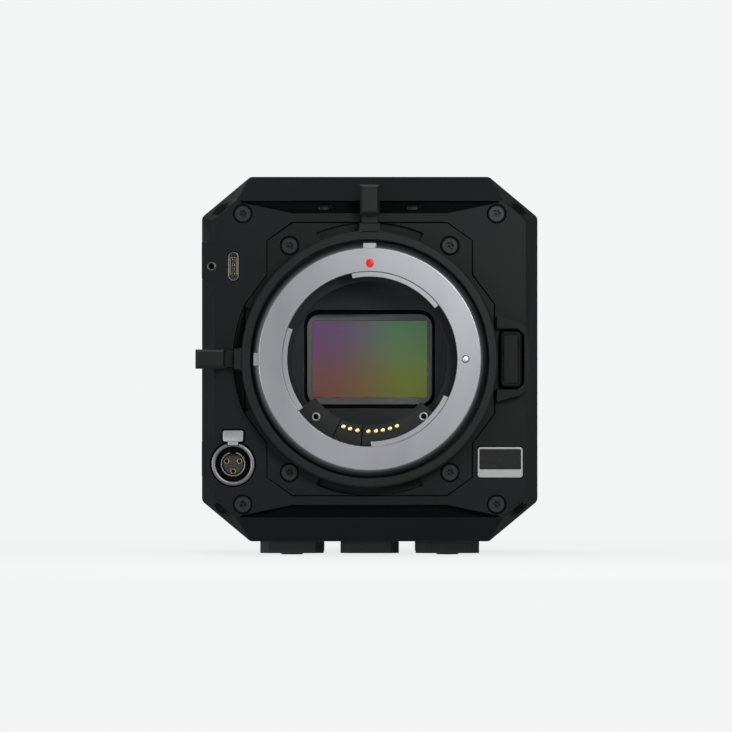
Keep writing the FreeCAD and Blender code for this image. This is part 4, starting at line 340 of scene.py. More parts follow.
def drawn(name: str, outline: Sequence[Pair], start: float, end: float,
          axis: Axis = Axis.Y) -> bpy.types.Object:
    """A piece with one outline along its whole length.

    Args:
        name: The piece's name.
        outline: The corners in millimetres: X and Z along Y, Y and Z along X, and X and Y along Z.
        start: Where the piece begins on its axis.
        end: Where it ends.
        axis: What it runs along.

    Returns:
        The closed piece.
    """
    deselect()
    bpy.ops.mesh.primitive_circle_add(vertices=len(outline), radius=MM, fill_type="NGON")
    thing = bpy.context.object

    def seat(first: float, second: float) -> Vector:
        """A corner's place at the start level."""
        order = {Axis.X: (start, first, second), Axis.Y: (first, start, second),
                 Axis.Z: (first, second, start)}
        return Vector(order[axis]) * MM

    with editing(thing) as mesh:
        mesh.verts.ensure_lookup_table()
        for corner, (first, second) in zip(mesh.verts, outline):
            corner.co = seat(first, second)
        bmesh.update_edit_mesh(thing.data)
        bpy.ops.mesh.select_all(action="SELECT")
        run = end - start
        push(*[run if axis is way else 0.0 for way in Axis])
    mend(thing)
    thing.name = thing.data.name = name
    return thing


def bar(name: str, x: Pair, y: Pair, z: Pair, rounding: float = 0.0, segments: int = 2) -> bpy.types.Object:
    """A block between two X, two Y and two Z levels, its edges rounded.

    Args:
        name: The piece's name.
        x: The lowest and highest X in millimetres.
        y: The lowest and highest Y.
        z: The lowest and highest Z.
        rounding: The width of the rounding, or 0 for a block that is cut or joined later.
        segments: How many faces go round each edge.

    Returns:
        The block.
    """
    deselect()
    middle = [(low + high) / 2 * MM for low, high in (x, y, z)]
    bpy.ops.mesh.primitive_cube_add(size=1.0, location=middle)
    thing = bpy.context.object
    thing.scale = [(high - low) * MM for low, high in (x, y, z)]
    settle_in_place(thing)
    thing.name = thing.data.name = name
    return soften(thing, rounding, segments) if rounding else thing


def around(radius: float, angle: float) -> Pair:
    """A place on a circle round the optical axis, from an angle in degrees anticlockwise from +X."""
    return radius * math.cos(math.radians(angle)), radius * math.sin(math.radians(angle))


def circle_places(radius: float, angles: Sequence[float]) -> list[Triple]:
    """Places at level 0 on a circle round the optical axis, from angles in degrees."""
    return [(x, 0.0, z) for x, z in (around(radius, angle) for angle in angles)]


def about(middle: float, half: float) -> Pair:
    """The two levels that lie a half each side of a middle."""
    return middle - half, middle + half


def rounded(width: float, height: float, radius: float, centre: Pair = (0.0, 0.0)) -> list[Pair]:
    """The corners of a rectangle with round corners, anticlockwise."""
    corners = []
    for quarter, (side, end) in enumerate(((1, 1), (-1, 1), (-1, -1), (1, -1))):
        middle = (centre[0] + side * (width / 2 - radius), centre[1] + end * (height / 2 - radius))
        for step in range(CORNER_STEPS + 1):
            x, z = around(radius, 90 * (quarter + step / CORNER_STEPS))
            corners.append((middle[0] + x, middle[1] + z))
    return corners


# Shader effects that several finishes share


class Graph:
    """A node tree under construction, with short calls for its nodes and links."""

    def __init__(self, tree: bpy.types.NodeTree) -> None:
        """Starts on a tree and clears it."""
        self.tree = tree
        tree.nodes.clear()

    def node(self, kind: str, *inputs: object, **settings: object) -> bpy.types.Node:
        """Adds a node.

        Args:
            kind: The node's type, without its ShaderNode prefix.
            *inputs: For each socket in order, a number, a colour, an output to link, or None to leave it.
            **settings: The node's own settings, or sockets by name with spaces as underscores.

        Returns:
            The node.
        """
        made = self.tree.nodes.new(kind if kind.startswith("Node") else "ShaderNode" + kind)
        for name, value in settings.items():
            socket = made.inputs.get(name.replace("_", " ")) if name[0].isupper() else None
            if socket is None:
                setattr(made, name, value)
            else:
                self.feed(socket, value)
        for socket, value in zip(made.inputs, inputs):
            self.feed(socket, value)
        return made

    def feed(self, socket: bpy.types.NodeSocket, value: object) -> None:
        """Links an output to a socket, or sets the socket's own value."""
        if value is None:
            return
        if isinstance(value, bpy.types.NodeSocket):
            self.tree.links.new(value, socket)
        elif isinstance(value, tuple) and len(value) == 3 and socket.type == "RGBA":
            socket.default_value = (*value, 1.0)
        else:
            socket.default_value = value

    def maths(self, operation: str, *values: object, clamp: bool = False) -> bpy.types.NodeSocket:
        """A Math node's output."""
        return self.node("Math", *values, operation=operation, use_clamp=clamp).outputs[0]

    def times(self, first: object, second: object, clamp: bool = False) -> bpy.types.NodeSocket:
        """The product of two values."""
        return self.maths("MULTIPLY", first, second, clamp=clamp)

    def plus(self, first: object, second: object) -> bpy.types.NodeSocket:
        """The sum of two values."""
        return self.maths("ADD", first, second)

    def scaled(self, value: object, factor: object, offset: object) -> bpy.types.NodeSocket:
        """A value times a factor, plus an offset."""
        return self.maths("MULTIPLY_ADD", value, factor, offset)

    def vector(self, operation: str, *values: object) -> bpy.types.NodeSocket:
        """A Vector Math node's output, a value for a dot product or a length."""
        made = self.node("VectorMath", *values, operation=operation)
        return made.outputs["Value" if operation in ("DOT_PRODUCT", "LENGTH") else "Vector"]

    def between(self, value: object, low: float, high: float, first: float = 0.0,
                last: float = 1.0) -> bpy.types.NodeSocket:
        """A value's range mapped smoothly to another, and held inside it."""
        made = self.node("MapRange", value, low, high, first, last, interpolation_type="SMOOTHSTEP")
        return made.outputs[0]

    def blend(self, share: object, first: object, second: object) -> bpy.types.NodeSocket:
        """A mix of two colours."""
        made = self.node("Mix", data_type="RGBA")
        self.feed(made.inputs[0], share)
        self.feed(made.inputs[6], first)
        self.feed(made.inputs[7], second)
        return made.outputs[2]

    def noise(self, where: object, scale: float, detail: float = 2.0,
              rough: float = 0.5) -> bpy.types.NodeSocket:
        """A noise value, centred near a half."""
        made = self.node("TexNoise", Vector=where, Scale=scale, Detail=detail, Roughness=rough)
        return made.outputs[0]

    def bump(self, shader: bpy.types.Node, strength: float, distance: float, height: object,
             normal: object = None) -> None:
        """Roughens a shader's normal by a height.

        Args:
            shader: The Principled shader.
            strength: The share of the bump, from 0 to 1.
            distance: The height of a full step, in metres.
            height: The height value.
            normal: The normal to start from, or None for the surface's own.
        """
        made = self.node("Bump", Strength=strength, Distance=distance, Height=height, Normal=normal)
        self.feed(shader.inputs["Normal"], made.outputs[0])

    def place(self) -> bpy.types.NodeSocket:
        """The object coordinates, in metres."""
        return self.node("TexCoord").outputs["Object"]

    def group(self, effect: "Effect", **inputs: object) -> bpy.types.Node:
        """A shared effect with its own values."""
        made = self.node("Group", node_tree=effect.tree())
        for name, value in inputs.items():
            self.feed(made.inputs[name], value)
        return made


@dataclass(frozen=True)
class Effect:
    """A shader effect that more than one finish uses, built once as a node group."""

    name: str
    inputs: tuple[tuple[str, float], ...]
    outputs: tuple[tuple[str, str], ...]
    wire: Callable[[Graph, bpy.types.Node, bpy.types.Node], None]

    def tree(self) -> bpy.types.NodeTree:
        """The node group, made the first time it is asked for."""
        made = bpy.data.node_groups.get(self.name)
        if made is None:
            made = bpy.data.node_groups.new(self.name, "ShaderNodeTree")
            for name, value in self.inputs:
                socket = made.interface.new_socket(name, in_out="INPUT", socket_type="NodeSocketFloat")
                socket.default_value = value
            for name, kind in self.outputs:
                made.interface.new_socket(name, in_out="OUTPUT", socket_type="NodeSocket" + kind)
            graph = Graph(made)
            self.wire(graph, graph.node("NodeGroupInput"), graph.node("NodeGroupOutput"))
        return made


def wire_wear_and_highlight(graph: Graph, given: bpy.types.Node, out: bpy.types.Node) -> None:
    """A mask that is bright on worn edges, where it also paints highlights, broken up where hands haven't
    reached.
    """
    rounded_normal = graph.node("Bevel", given.outputs["Radius"], samples=5).outputs[0]
    flat_normal = graph.node("NewGeometry").outputs["Normal"]
    turn = graph.maths("SUBTRACT", 1.0, graph.vector("DOT_PRODUCT", rounded_normal, flat_normal))
    edge = graph.between(turn, 0.02, 0.22)
    patch = graph.between(graph.noise(graph.place(), 90.0, 4.0, 0.65), 0.38, 0.68)
    speck = graph.between(graph.noise(graph.place(), 900.0, 2.0), 0.3, 0.7, 0.5, 1.0)
    worn_and_highlit = graph.times(graph.times(edge, patch), speck)
    graph.feed(out.inputs["Mask"], graph.times(worn_and_highlit, given.outputs["Amount"], clamp=True))
    graph.feed(out.inputs["Normal"], rounded_normal)


def wire_grain(graph: Graph, given: bpy.types.Node, out: bpy.types.Node) -> None:
    """A fine even grain, as height, with flecks on its highest spots."""
    place = graph.place()
    fine = graph.noise(place, given.outputs["Scale"], 2.0, 0.6)
    coarse = graph.noise(place, graph.times(given.outputs["Scale"], 0.31), 1.0)
    height = graph.plus(graph.times(fine, 0.7), graph.times(coarse, 0.3))
    graph.feed(out.inputs["Height"], height)
    graph.feed(out.inputs["Fleck"], graph.between(fine, 0.62, 0.78))


def wire_drift(graph: Graph, given: bpy.types.Node, out: bpy.types.Node) -> None:
    """Slow uneven shade, as finger marks and dust leave it, round a middle of a half."""
    place = graph.place()
    wide = graph.noise(place, 14.0, 3.0, 0.55)
    smear = graph.noise(graph.vector("MULTIPLY", place, (1.0, 1.0, 0.35)), 60.0, 3.0, 0.6)
    total = graph.plus(graph.times(wide, 0.6), graph.times(smear, 0.4))
    graph.feed(out.inputs["Shade"], graph.between(total, 0.3, 0.7))


def wire_lathe(graph: Graph, given: bpy.types.Node, out: bpy.types.Node) -> None:
    """Fine tool rings round the optical axis, as height and shade."""
    flat = graph.vector("MULTIPLY", graph.place(), (1.0, 0.0, 1.0))
    radius = graph.vector("LENGTH", flat)
    line = graph.node("TexNoise", noise_dimensions="1D", W=graph.times(radius, given.outputs["Scale"]),
                      Scale=1.0, Detail=3.0).outputs[0]
    patch = graph.noise(graph.place(), 40.0, 2.0)
    graph.feed(out.inputs["Height"], line)
    graph.feed(out.inputs["Shade"], graph.scaled(patch, 0.3, graph.times(line, 0.7)))


# Worn edges, lighter also as painted highlights along them
WEAR_AND_HIGHLIGHT = Effect("edge_wear_and_highlight", (("Radius", 0.0004), ("Amount", 0.5)), (("Mask", "Float"), ("Normal", "Vector")),
              wire_wear_and_highlight)
GRAIN = Effect("fine_grain", (("Scale", 3000.0),), (("Height", "Float"), ("Fleck", "Float")), wire_grain)
DRIFT = Effect("handling_marks", (), (("Shade", "Float"),), wire_drift)
LATHE = Effect("tool_rings", (("Scale", 6000.0),), (("Height", "Float"), ("Shade", "Float")), wire_lathe)


# Finishes


def new_material(name: str) -> tuple[bpy.types.Material, Graph, bpy.types.Node]:
    """A material with an empty graph and its Principled shader, linked to the output."""
    material = bpy.data.materials.new(name)
    material.use_nodes = True
    graph = Graph(material.node_tree)
    shader = graph.node("BsdfPrincipled")
    graph.node("OutputMaterial", Surface=shader.outputs[0])
    return material, graph, shader


def surface(graph: Graph, finish: "Coating | Metal") -> tuple[bpy.types.Node, bpy.types.NodeSocket,
                                                              bpy.types.Node]:
    """The grain, the slow shade, and the worn edges with their painted highlights, of a coating or a metal.
    """
    return (graph.group(GRAIN, Scale=finish.grain), graph.group(DRIFT).outputs["Shade"],
            graph.group(WEAR_AND_HIGHLIGHT, Radius=finish.wear_and_highlight_radius, Amount=finish.wear_and_highlight))


@dataclass(frozen=True)
class Coating:
    """A painted, anodised or moulded surface: an even grain, worn edges with painted highlights, and the
    marks of handling.
    """

    name: str
    colour: Colour
    roughness: float = 0.5
    metallic: float = 0.0
    specular: float = 0.5
    grain: float = 2600.0
    bump: float = 0.12
    wear_and_highlight: float = 0.5
    wear_and_highlight_colour: Colour = (0.16, 0.16, 0.165)
    wear_and_highlight_radius: float = 0.00035
    drift: float = 0.08

    def make(self) -> bpy.types.Material:
        """Builds the material."""
        material, graph, shader = new_material(self.name)
        grain, shade, edges = surface(graph, self)
        worn_and_highlit = edges.outputs["Mask"]
        darker = tuple(v * (1 - self.drift * 2) for v in self.colour)
        lighter = tuple(v * (1 + self.drift * 2) for v in self.colour)
        base = graph.blend(shade, darker, lighter)
        flecked = graph.blend(graph.times(grain.outputs["Fleck"], 0.12), base,
                              tuple(min(1.0, v * 1.9 + 0.01) for v in self.colour))
        # Worn edges take a lighter colour, partly wear and partly painted highlight
        graph.feed(shader.inputs["Base Color"], graph.blend(worn_and_highlit, flecked, self.wear_and_highlight_colour))
        rough = graph.scaled(shade, self.drift, self.roughness - self.drift / 2)
        graph.feed(shader.inputs["Roughness"], graph.scaled(worn_and_highlit, -0.12, rough))
        shader.inputs["Metallic"].default_value = self.metallic
        shader.inputs["Specular IOR Level"].default_value = self.specular
        graph.bump(shader, self.bump, 0.00005, grain.outputs["Height"], edges.outputs["Normal"])
        return material


@dataclass(frozen=True)
class Metal:
    """Bare or plated metal, with tool rings round the optical axis where it was turned."""

    name: str
    colour: Colour
    roughness: float = 0.3
    rings: float = 0.0
    ring_scale: float = 5000.0
    grain: float = 3500.0
    bump: float = 0.06
    wear_and_highlight: float = 0.35
    wear_and_highlight_colour: Colour = (0.9, 0.9, 0.88)
    wear_and_highlight_radius: float = 0.0002

    def make(self) -> bpy.types.Material:
        """Builds the material."""
        material, graph, shader = new_material(self.name)
        grain, shade, edges = surface(graph, self)
        worn_and_highlit = edges.outputs["Mask"]
        base = graph.blend(shade, tuple(v * 0.92 for v in self.colour),
                           tuple(min(1.0, v * 1.05) for v in self.colour))
        height = grain.outputs["Height"]
        if self.rings:
            rings = graph.group(LATHE, Scale=self.ring_scale)
            height = graph.plus(height, graph.times(rings.outputs["Height"], 2.0))
            base = graph.blend(graph.times(rings.outputs["Shade"], self.rings), base,
                               tuple(v * 0.62 for v in self.colour))
        # Worn edges take a lighter colour, partly wear and partly painted highlight
        graph.feed(shader.inputs["Base Color"], graph.blend(worn_and_highlit, base, self.wear_and_highlight_colour))
        graph.feed(shader.inputs["Roughness"], graph.scaled(shade, 0.08, self.roughness - 0.04))
        shader.inputs["Metallic"].default_value = 1.0
        graph.bump(shader, self.bump, 0.00004, height, edges.outputs["Normal"])
        return material


@dataclass(frozen=True)
class SensorFace:
    """The photosites: a fine grid under colour filters, with a painted sheen: a tint that drifts over the
    sensor.
    """

    name: str = "photosites"
    half_width: float = 18.0
    half_height: float = 12.0
    violet: Colour = (0.13, 0.06, 0.155)
    green: Colour = (0.075, 0.165, 0.08)
    brown: Colour = (0.17, 0.065, 0.05)
    olive: Colour = (0.13, 0.155, 0.02)
    site_scale: float = 9000.0

    def make(self) -> bpy.types.Material:
        """Builds the material."""
        material, graph, shader = new_material(self.name)
        place = graph.node("SeparateXYZ", graph.place())
        drift = graph.noise(graph.place(), 30.0, 2.0)
        across = graph.plus(graph.scaled(place.outputs[0], 0.5 / self.half_width / MM, 0.5),
                             graph.scaled(drift, 0.25, -0.12))
        up = graph.plus(graph.scaled(place.outputs[2], 0.5 / self.half_height / MM, 0.5),
                         graph.scaled(drift, -0.2, 0.1))
        # The tint's drift over the sensor is a painted iridescent sheen
        right = graph.between(across, 0.1, 0.9)
        upper = graph.blend(right, self.violet, self.green)
        lower = graph.blend(right, self.brown, self.olive)
        tint = graph.blend(graph.between(up, 0.1, 0.9), lower, upper)
        cell = graph.node("TexChecker", Vector=graph.place(), Scale=self.site_scale)
        fine = graph.blend(graph.times(cell.outputs["Fac"], 0.12), tint, (0.02, 0.02, 0.02))
        graph.feed(shader.inputs["Base Color"], fine)
        graph.feed(shader.inputs["Roughness"], graph.scaled(drift, 0.06, 0.1))
        shader.inputs["Metallic"].default_value = 1.0
        graph.bump(shader, 0.05, 0.00001, cell.outputs["Fac"])
        return material


@dataclass(frozen=True)
class Glass:
    """Coated optical glass, with the faintest dust."""

    name: str = "filter_coating"
    tint: Colour = (0.2, 0.24, 0.23)
    alpha: float = 0.04

    def make(self) -> bpy.types.Material:
        """Builds the material."""
        material, graph, shader = new_material(self.name)
        dust = graph.between(graph.noise(graph.place(), 700.0, 3.0), 0.55, 0.8)
        graph.feed(shader.inputs["Base Color"], graph.blend(dust, self.tint, (0.3, 0.3, 0.29)))
        graph.feed(shader.inputs["Roughness"], graph.scaled(dust, 0.08, 0.02))
        shader.inputs["Alpha"].default_value = self.alpha
        return material


@dataclass(frozen=True)
class Gloss:
    """A dark glass or polished moulded face, faintly smeared."""

    name: str
    colour: Colour
    roughness: float
    specular: float

    def make(self) -> bpy.types.Material:
        """Builds the material."""
        material, graph, shader = new_material(self.name)
        shade = graph.group(DRIFT).outputs["Shade"]
        grain = graph.group(GRAIN, Scale=1800.0)
        base = graph.blend(shade, tuple(v * 0.85 for v in self.colour),
                           tuple(v * 1.15 for v in self.colour))
        dust = graph.blend(graph.times(grain.outputs["Fleck"], 0.05), base, (0.5, 0.5, 0.5))
        graph.feed(shader.inputs["Base Color"], dust)
        graph.feed(shader.inputs["Roughness"], graph.scaled(shade, 0.1, self.roughness))
        shader.inputs["Specular IOR Level"].default_value = self.specular
        graph.bump(shader, 0.02, 0.00003, grain.outputs["Height"])
        return material


@dataclass(frozen=True)
class Board:
    """A printed circuit board: solder mask over tracks, with pads."""

    name: str = "printed_board"
    mask: Colour = (0.008, 0.05, 0.028)
    track: Colour = (0.02, 0.11, 0.055)
    pad: Colour = (0.6, 0.45, 0.16)

    def make(self) -> bpy.types.Material:
        """Builds the material."""
        material, graph, shader = new_material(self.name)
        lines = graph.node("TexBrick", Vector=graph.node("Mapping", graph.place(),
                                                         Rotation=(math.pi / 2, 0.0, 0.0))
                           .outputs[0], Scale=400.0)
        track = graph.between(lines.outputs["Fac"], 0.2, 0.8)
        dots = graph.node("TexVoronoi", Vector=graph.place(), Scale=420.0)
        pads = graph.between(dots.outputs["Distance"], 0.16, 0.2, 1.0, 0.0)
        base = graph.blend(track, self.mask, self.track)
        graph.feed(shader.inputs["Base Color"], graph.blend(pads, base, self.pad))
        graph.feed(shader.inputs["Metallic"], pads)
        graph.feed(shader.inputs["Roughness"], graph.scaled(pads, -0.1, 0.38))
        graph.bump(shader, 0.3, 0.00004, graph.plus(track, pads))
        return material


class Finish(Enum):
    """Every finish on the camera."""

    BODY = Coating("body_coat", (0.0028, 0.0031, 0.0034), 0.42, specular=0.08, wear_and_highlight=0.45,
                   wear_and_highlight_colour=(0.06, 0.06, 0.062))
    # The base plate: the body's black lifted ten times as painted light on the lands' fronts, which sit in
    # the body's shadow
    LANDS = Coating("base_coat_painted_light", (0.028, 0.029, 0.0297), 0.5, specular=0.1, wear_and_highlight=0.5,
                    wear_and_highlight_colour=(0.1, 0.1, 0.1))
    RING = Coating("ring_coat", (0.0048, 0.0052, 0.0054), 0.42, specular=0.1, wear_and_highlight=0.6,
                   wear_and_highlight_colour=(0.12, 0.12, 0.122))
    BUTTON = Coating("button_coat", (0.003, 0.0033, 0.0036), 0.42, specular=0.075, wear_and_highlight=0.4,
                     wear_and_highlight_colour=(0.07, 0.07, 0.07))
    RECORD = Coating("record_coat", (0.3, 0.006, 0.007), 0.4, specular=0.15, wear_and_highlight=0.2,
                     wear_and_highlight_colour=(0.4, 0.08, 0.07))
    SCREW = Coating("blackened_steel", (0.011, 0.0115, 0.012), 0.36, metallic=0.25, specular=0.15, wear_and_highlight=0.7,
                    wear_and_highlight_colour=(0.12, 0.12, 0.12), wear_and_highlight_radius=0.00014)
    CHAMBER = Coating("chamber_coat", (0.022, 0.027, 0.027), 0.6, specular=0.1, wear_and_highlight=0.8,
                      wear_and_highlight_colour=(0.2, 0.2, 0.2),
                      wear_and_highlight_radius=0.0003)
    # Near-black and almost without gloss: the filter holder's own black, and painted shade in the audio
    # socket's annulus and the face's two recesses
    HOLDER = Coating("black_and_painted_shade_coat", (0.0015, 0.0015, 0.0016), 0.6, specular=0.02, wear_and_highlight=0.1,
                     wear_and_highlight_colour=(0.02, 0.02, 0.02))
    BAFFLE = Coating("baffle_coat", (0.01, 0.011, 0.011), 0.55, specular=0.1, wear_and_highlight=0.25)
    BLOCK = Coating("contact_moulding", (0.011, 0.0112, 0.0115), 0.42, specular=0.1, wear_and_highlight=0.3,
                    wear_and_highlight_radius=0.0002,
                    wear_and_highlight_colour=(0.06, 0.06, 0.06))
    SOCKET_BLACK = Coating("socket_moulding", (0.01, 0.01, 0.011), 0.45, specular=0.15, wear_and_highlight=0.3,
                           wear_and_highlight_radius=0.0002)
    FAN = Coating("fan_moulding", (0.018, 0.018, 0.019), 0.38, wear_and_highlight=0.2)
    RUBBER = Coating("foot_rubber", (0.018, 0.018, 0.018), 0.82, specular=0.25, grain=1400.0, bump=0.5,
                     wear_and_highlight=0.3,
                     wear_and_highlight_colour=(0.06, 0.06, 0.058))
    CORE = Coating("socket_core", (0.016, 0.0155, 0.0165), 0.45, specular=0.15, wear_and_highlight=0.2)
    CERAMIC = Coating("package_ceramic", (0.12, 0.12, 0.117), 0.5, specular=0.08, wear_and_highlight=0.2,
                      wear_and_highlight_colour=(0.12, 0.12, 0.12))
    RED_DOT = Coating("index_enamel", (0.6, 0.006, 0.012), 0.25, specular=0.15, grain=1500.0, bump=0.03,
                      wear_and_highlight=0.1)
    FLANGE = Metal("turned_flange", (0.18, 0.1825, 0.194), 0.33, rings=0.22)
    PLATED = Metal("nickel_plate", (0.09, 0.09, 0.094), 0.36)
    NICKEL = Metal("bright_nickel", (0.32, 0.32, 0.325), 0.3)
    RIVET = Metal("rivet_steel", (0.17, 0.17, 0.17), 0.35)
    INSERT = Metal("thread_steel", (0.1, 0.1, 0.1), 0.36)
    TAB = Metal("brushed_tab", (0.17, 0.17, 0.18), 0.45, bump=0.15)
    EYELET = Metal("dark_steel", (0.05, 0.05, 0.05), 0.45)
    STEEL = Metal("bright_steel", (0.38, 0.38, 0.39), 0.3)
    ALUMINIUM = Metal("raw_aluminium", (0.6, 0.61, 0.62), 0.42)
    GOLD = Metal("gold_plate", (0.62, 0.45, 0.2), 0.24, wear_and_highlight_colour=(1.0, 0.8, 0.45))
    AGED_GOLD = Metal("aged_gold", (0.3, 0.2, 0.075), 0.36, wear_and_highlight_colour=(0.6, 0.45, 0.2))
    BADGE = Metal("badge_alloy", (0.2, 0.2, 0.2), 0.55, bump=0.12)
    MESH = Metal("microphone_mesh", (0.03, 0.03, 0.03), 0.5)
    SENSOR = SensorFace()
    FILTER = Glass()
    SCREEN = Gloss("touch_screen", (0.003, 0.0034, 0.004), 0.06, 0.22)
    BADGE_INSET = Gloss("badge_enamel", (0.003, 0.003, 0.0033), 0.35, 0.12)
    BOARD = Board()

    def material(self) -> bpy.types.Material:
        """The finish's material, built the first time it is asked for."""
        return bpy.data.materials.get(self.value.name) or self.value.make()


def dress(finish: Finish, *nodes: str) -> None:
    """Gives CAD nodes a finish."""
    for name in nodes:
        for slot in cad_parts[name].material_slots:
            slot.material = finish.material()


def mount(thing: bpy.types.Object, finish: Finish, slot: str, *replaced: str,
          body: str = "camera_body") -> bpy.types.Object:
    """Finishes a new piece: its material, the body it rides on and the nodes it stands for.

    Args:
        thing: The piece, in place.
        finish: Its finish.
        slot: Not used.
        *replaced: The CAD nodes that it replaces.
        body: The CAD body that it moves with.

    Returns:
        The same piece.
    """
    thing.data.materials.clear()
    thing.data.materials.append(finish.material())
    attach(thing, body)
    if replaced:
        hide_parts(*replaced)
    log.info("%s: %d faces, rides on %s", thing.name, len(thing.data.polygons), body)
    return thing


# Shapes that several sub-assemblies use


def soft_copy(node: str, name: str, width: float) -> bpy.types.Object:
    """A solid's own shape as a new piece, its seams closed and its sharp edges rounded.

    Args:
        node: The CAD node.
        name: The new piece's name.
        width: The rounding's width in millimetres.

    Returns:
        The new piece.
    """
    thing = link(bpy.data.objects.new(name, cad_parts[node].data.copy()))
    thing.data.name = name
    mend(thing, 0.002)
    with editing(thing):
        bpy.ops.mesh.select_all(action="SELECT")
        bpy.ops.mesh.dissolve_limited(angle_limit=math.radians(0.6))
    return soften(thing, width, 2, SEAM, clamp=False)


def sector(inner: float, outer: float, start: float, end: float) -> list[Pair]:
    """The outline of a slice of a ring, between two angles in degrees.

    Args:
        inner: The inner radius in millimetres.
        outer: The outer radius.
        start: Where the slice begins.
        end: Where it ends. The points of its arcs are about a degree apart.

    Returns:
        The outline's corners.
    """
    count = max(1, round(end - start))
    angles = [start + (end - start) * index / count for index in range(count + 1)]
    return [around(outer, angle) for angle in angles] + [around(inner, angle) for angle in reversed(angles)]


def lobed(radius: float) -> list[Pair]:
    """The outline of a six-lobe driver's socket."""
    turns = [360 * index / LOBE_STEPS for index in range(LOBE_STEPS)]
    return [around(radius * (LOBE_MIDDLE + LOBE_SWING * math.cos(math.radians(turn * LOBES))),
                   turn) for turn in turns]


@dataclass(frozen=True)
class Screw:
    """A flat-headed screw, its head facing -Y, with a post in the middle of its six-lobe socket."""

    head_radius: float
    head_height: float
    shank_radius: float
    length: float
    socket: float = 1.3
    socket_depth: float = 1.7
    pitch: float = 0.5
    edge: float = 0.5
    post: float = 0.3
    post_sunk: float = 0.3

    def model(self) -> bpy.types.Object:
        """The screw round the origin, the front of its head at level 0."""
        head, shank, core = self.head_radius, self.shank_radius, self.shank_radius - 0.22
        profile = [(head - self.edge, 0.0), (head, self.edge), (head, self.head_height),
                   (shank, self.head_height)]
        level = self.head_height + 0.4
        while level + self.pitch < self.head_height + self.length - 0.3:
            profile += [(core, level), (shank, level + self.pitch / 2)]
            level += self.pitch
        profile += [(core, level), (core * 0.8, self.head_height + self.length)]
        screw = turned("screw", profile, 40)
        carve(screw, drawn("socket", lobed(self.socket), -0.5, self.socket_depth))
        post = turned("post", [(self.post, self.socket_depth + 0.2), (self.post, self.post_sunk + 0.1),
                               (self.post * 0.7, self.post_sunk), (0, self.post_sunk - 0.04)], 20)
        return smooth(weld("screw", screw, post), 35)


def screws(name: str, screw: Screw, places: Sequence[Triple], turn: Triple = (0.0, 0.0, 0.0),
           replaced: str = "") -> bpy.types.Object:
    """Copies of one screw, each a little turned as a driver leaves it.

    Args:
        name: The piece's name.
        screw: The screw.
        places: The middle of the front of each head.
        turn: How the screws are turned from facing -Y.
        replaced: The CAD node that they stand for.

    Returns:
        The finished screws.
    """
    model = screw.model()
    copies = []
    for index, place in enumerate(places):
        copies.append(copy_of(model))
        settle(copies[-1], turn=(0.0, DRIVEN + DRIVEN_STEP * index, 0.0))
        settle(copies[-1], place, turn)
    bpy.data.objects.remove(model)
    return mount(weld(name, *copies), Finish.SCREW, "screw_black", replaced)


# Sub-assemblies


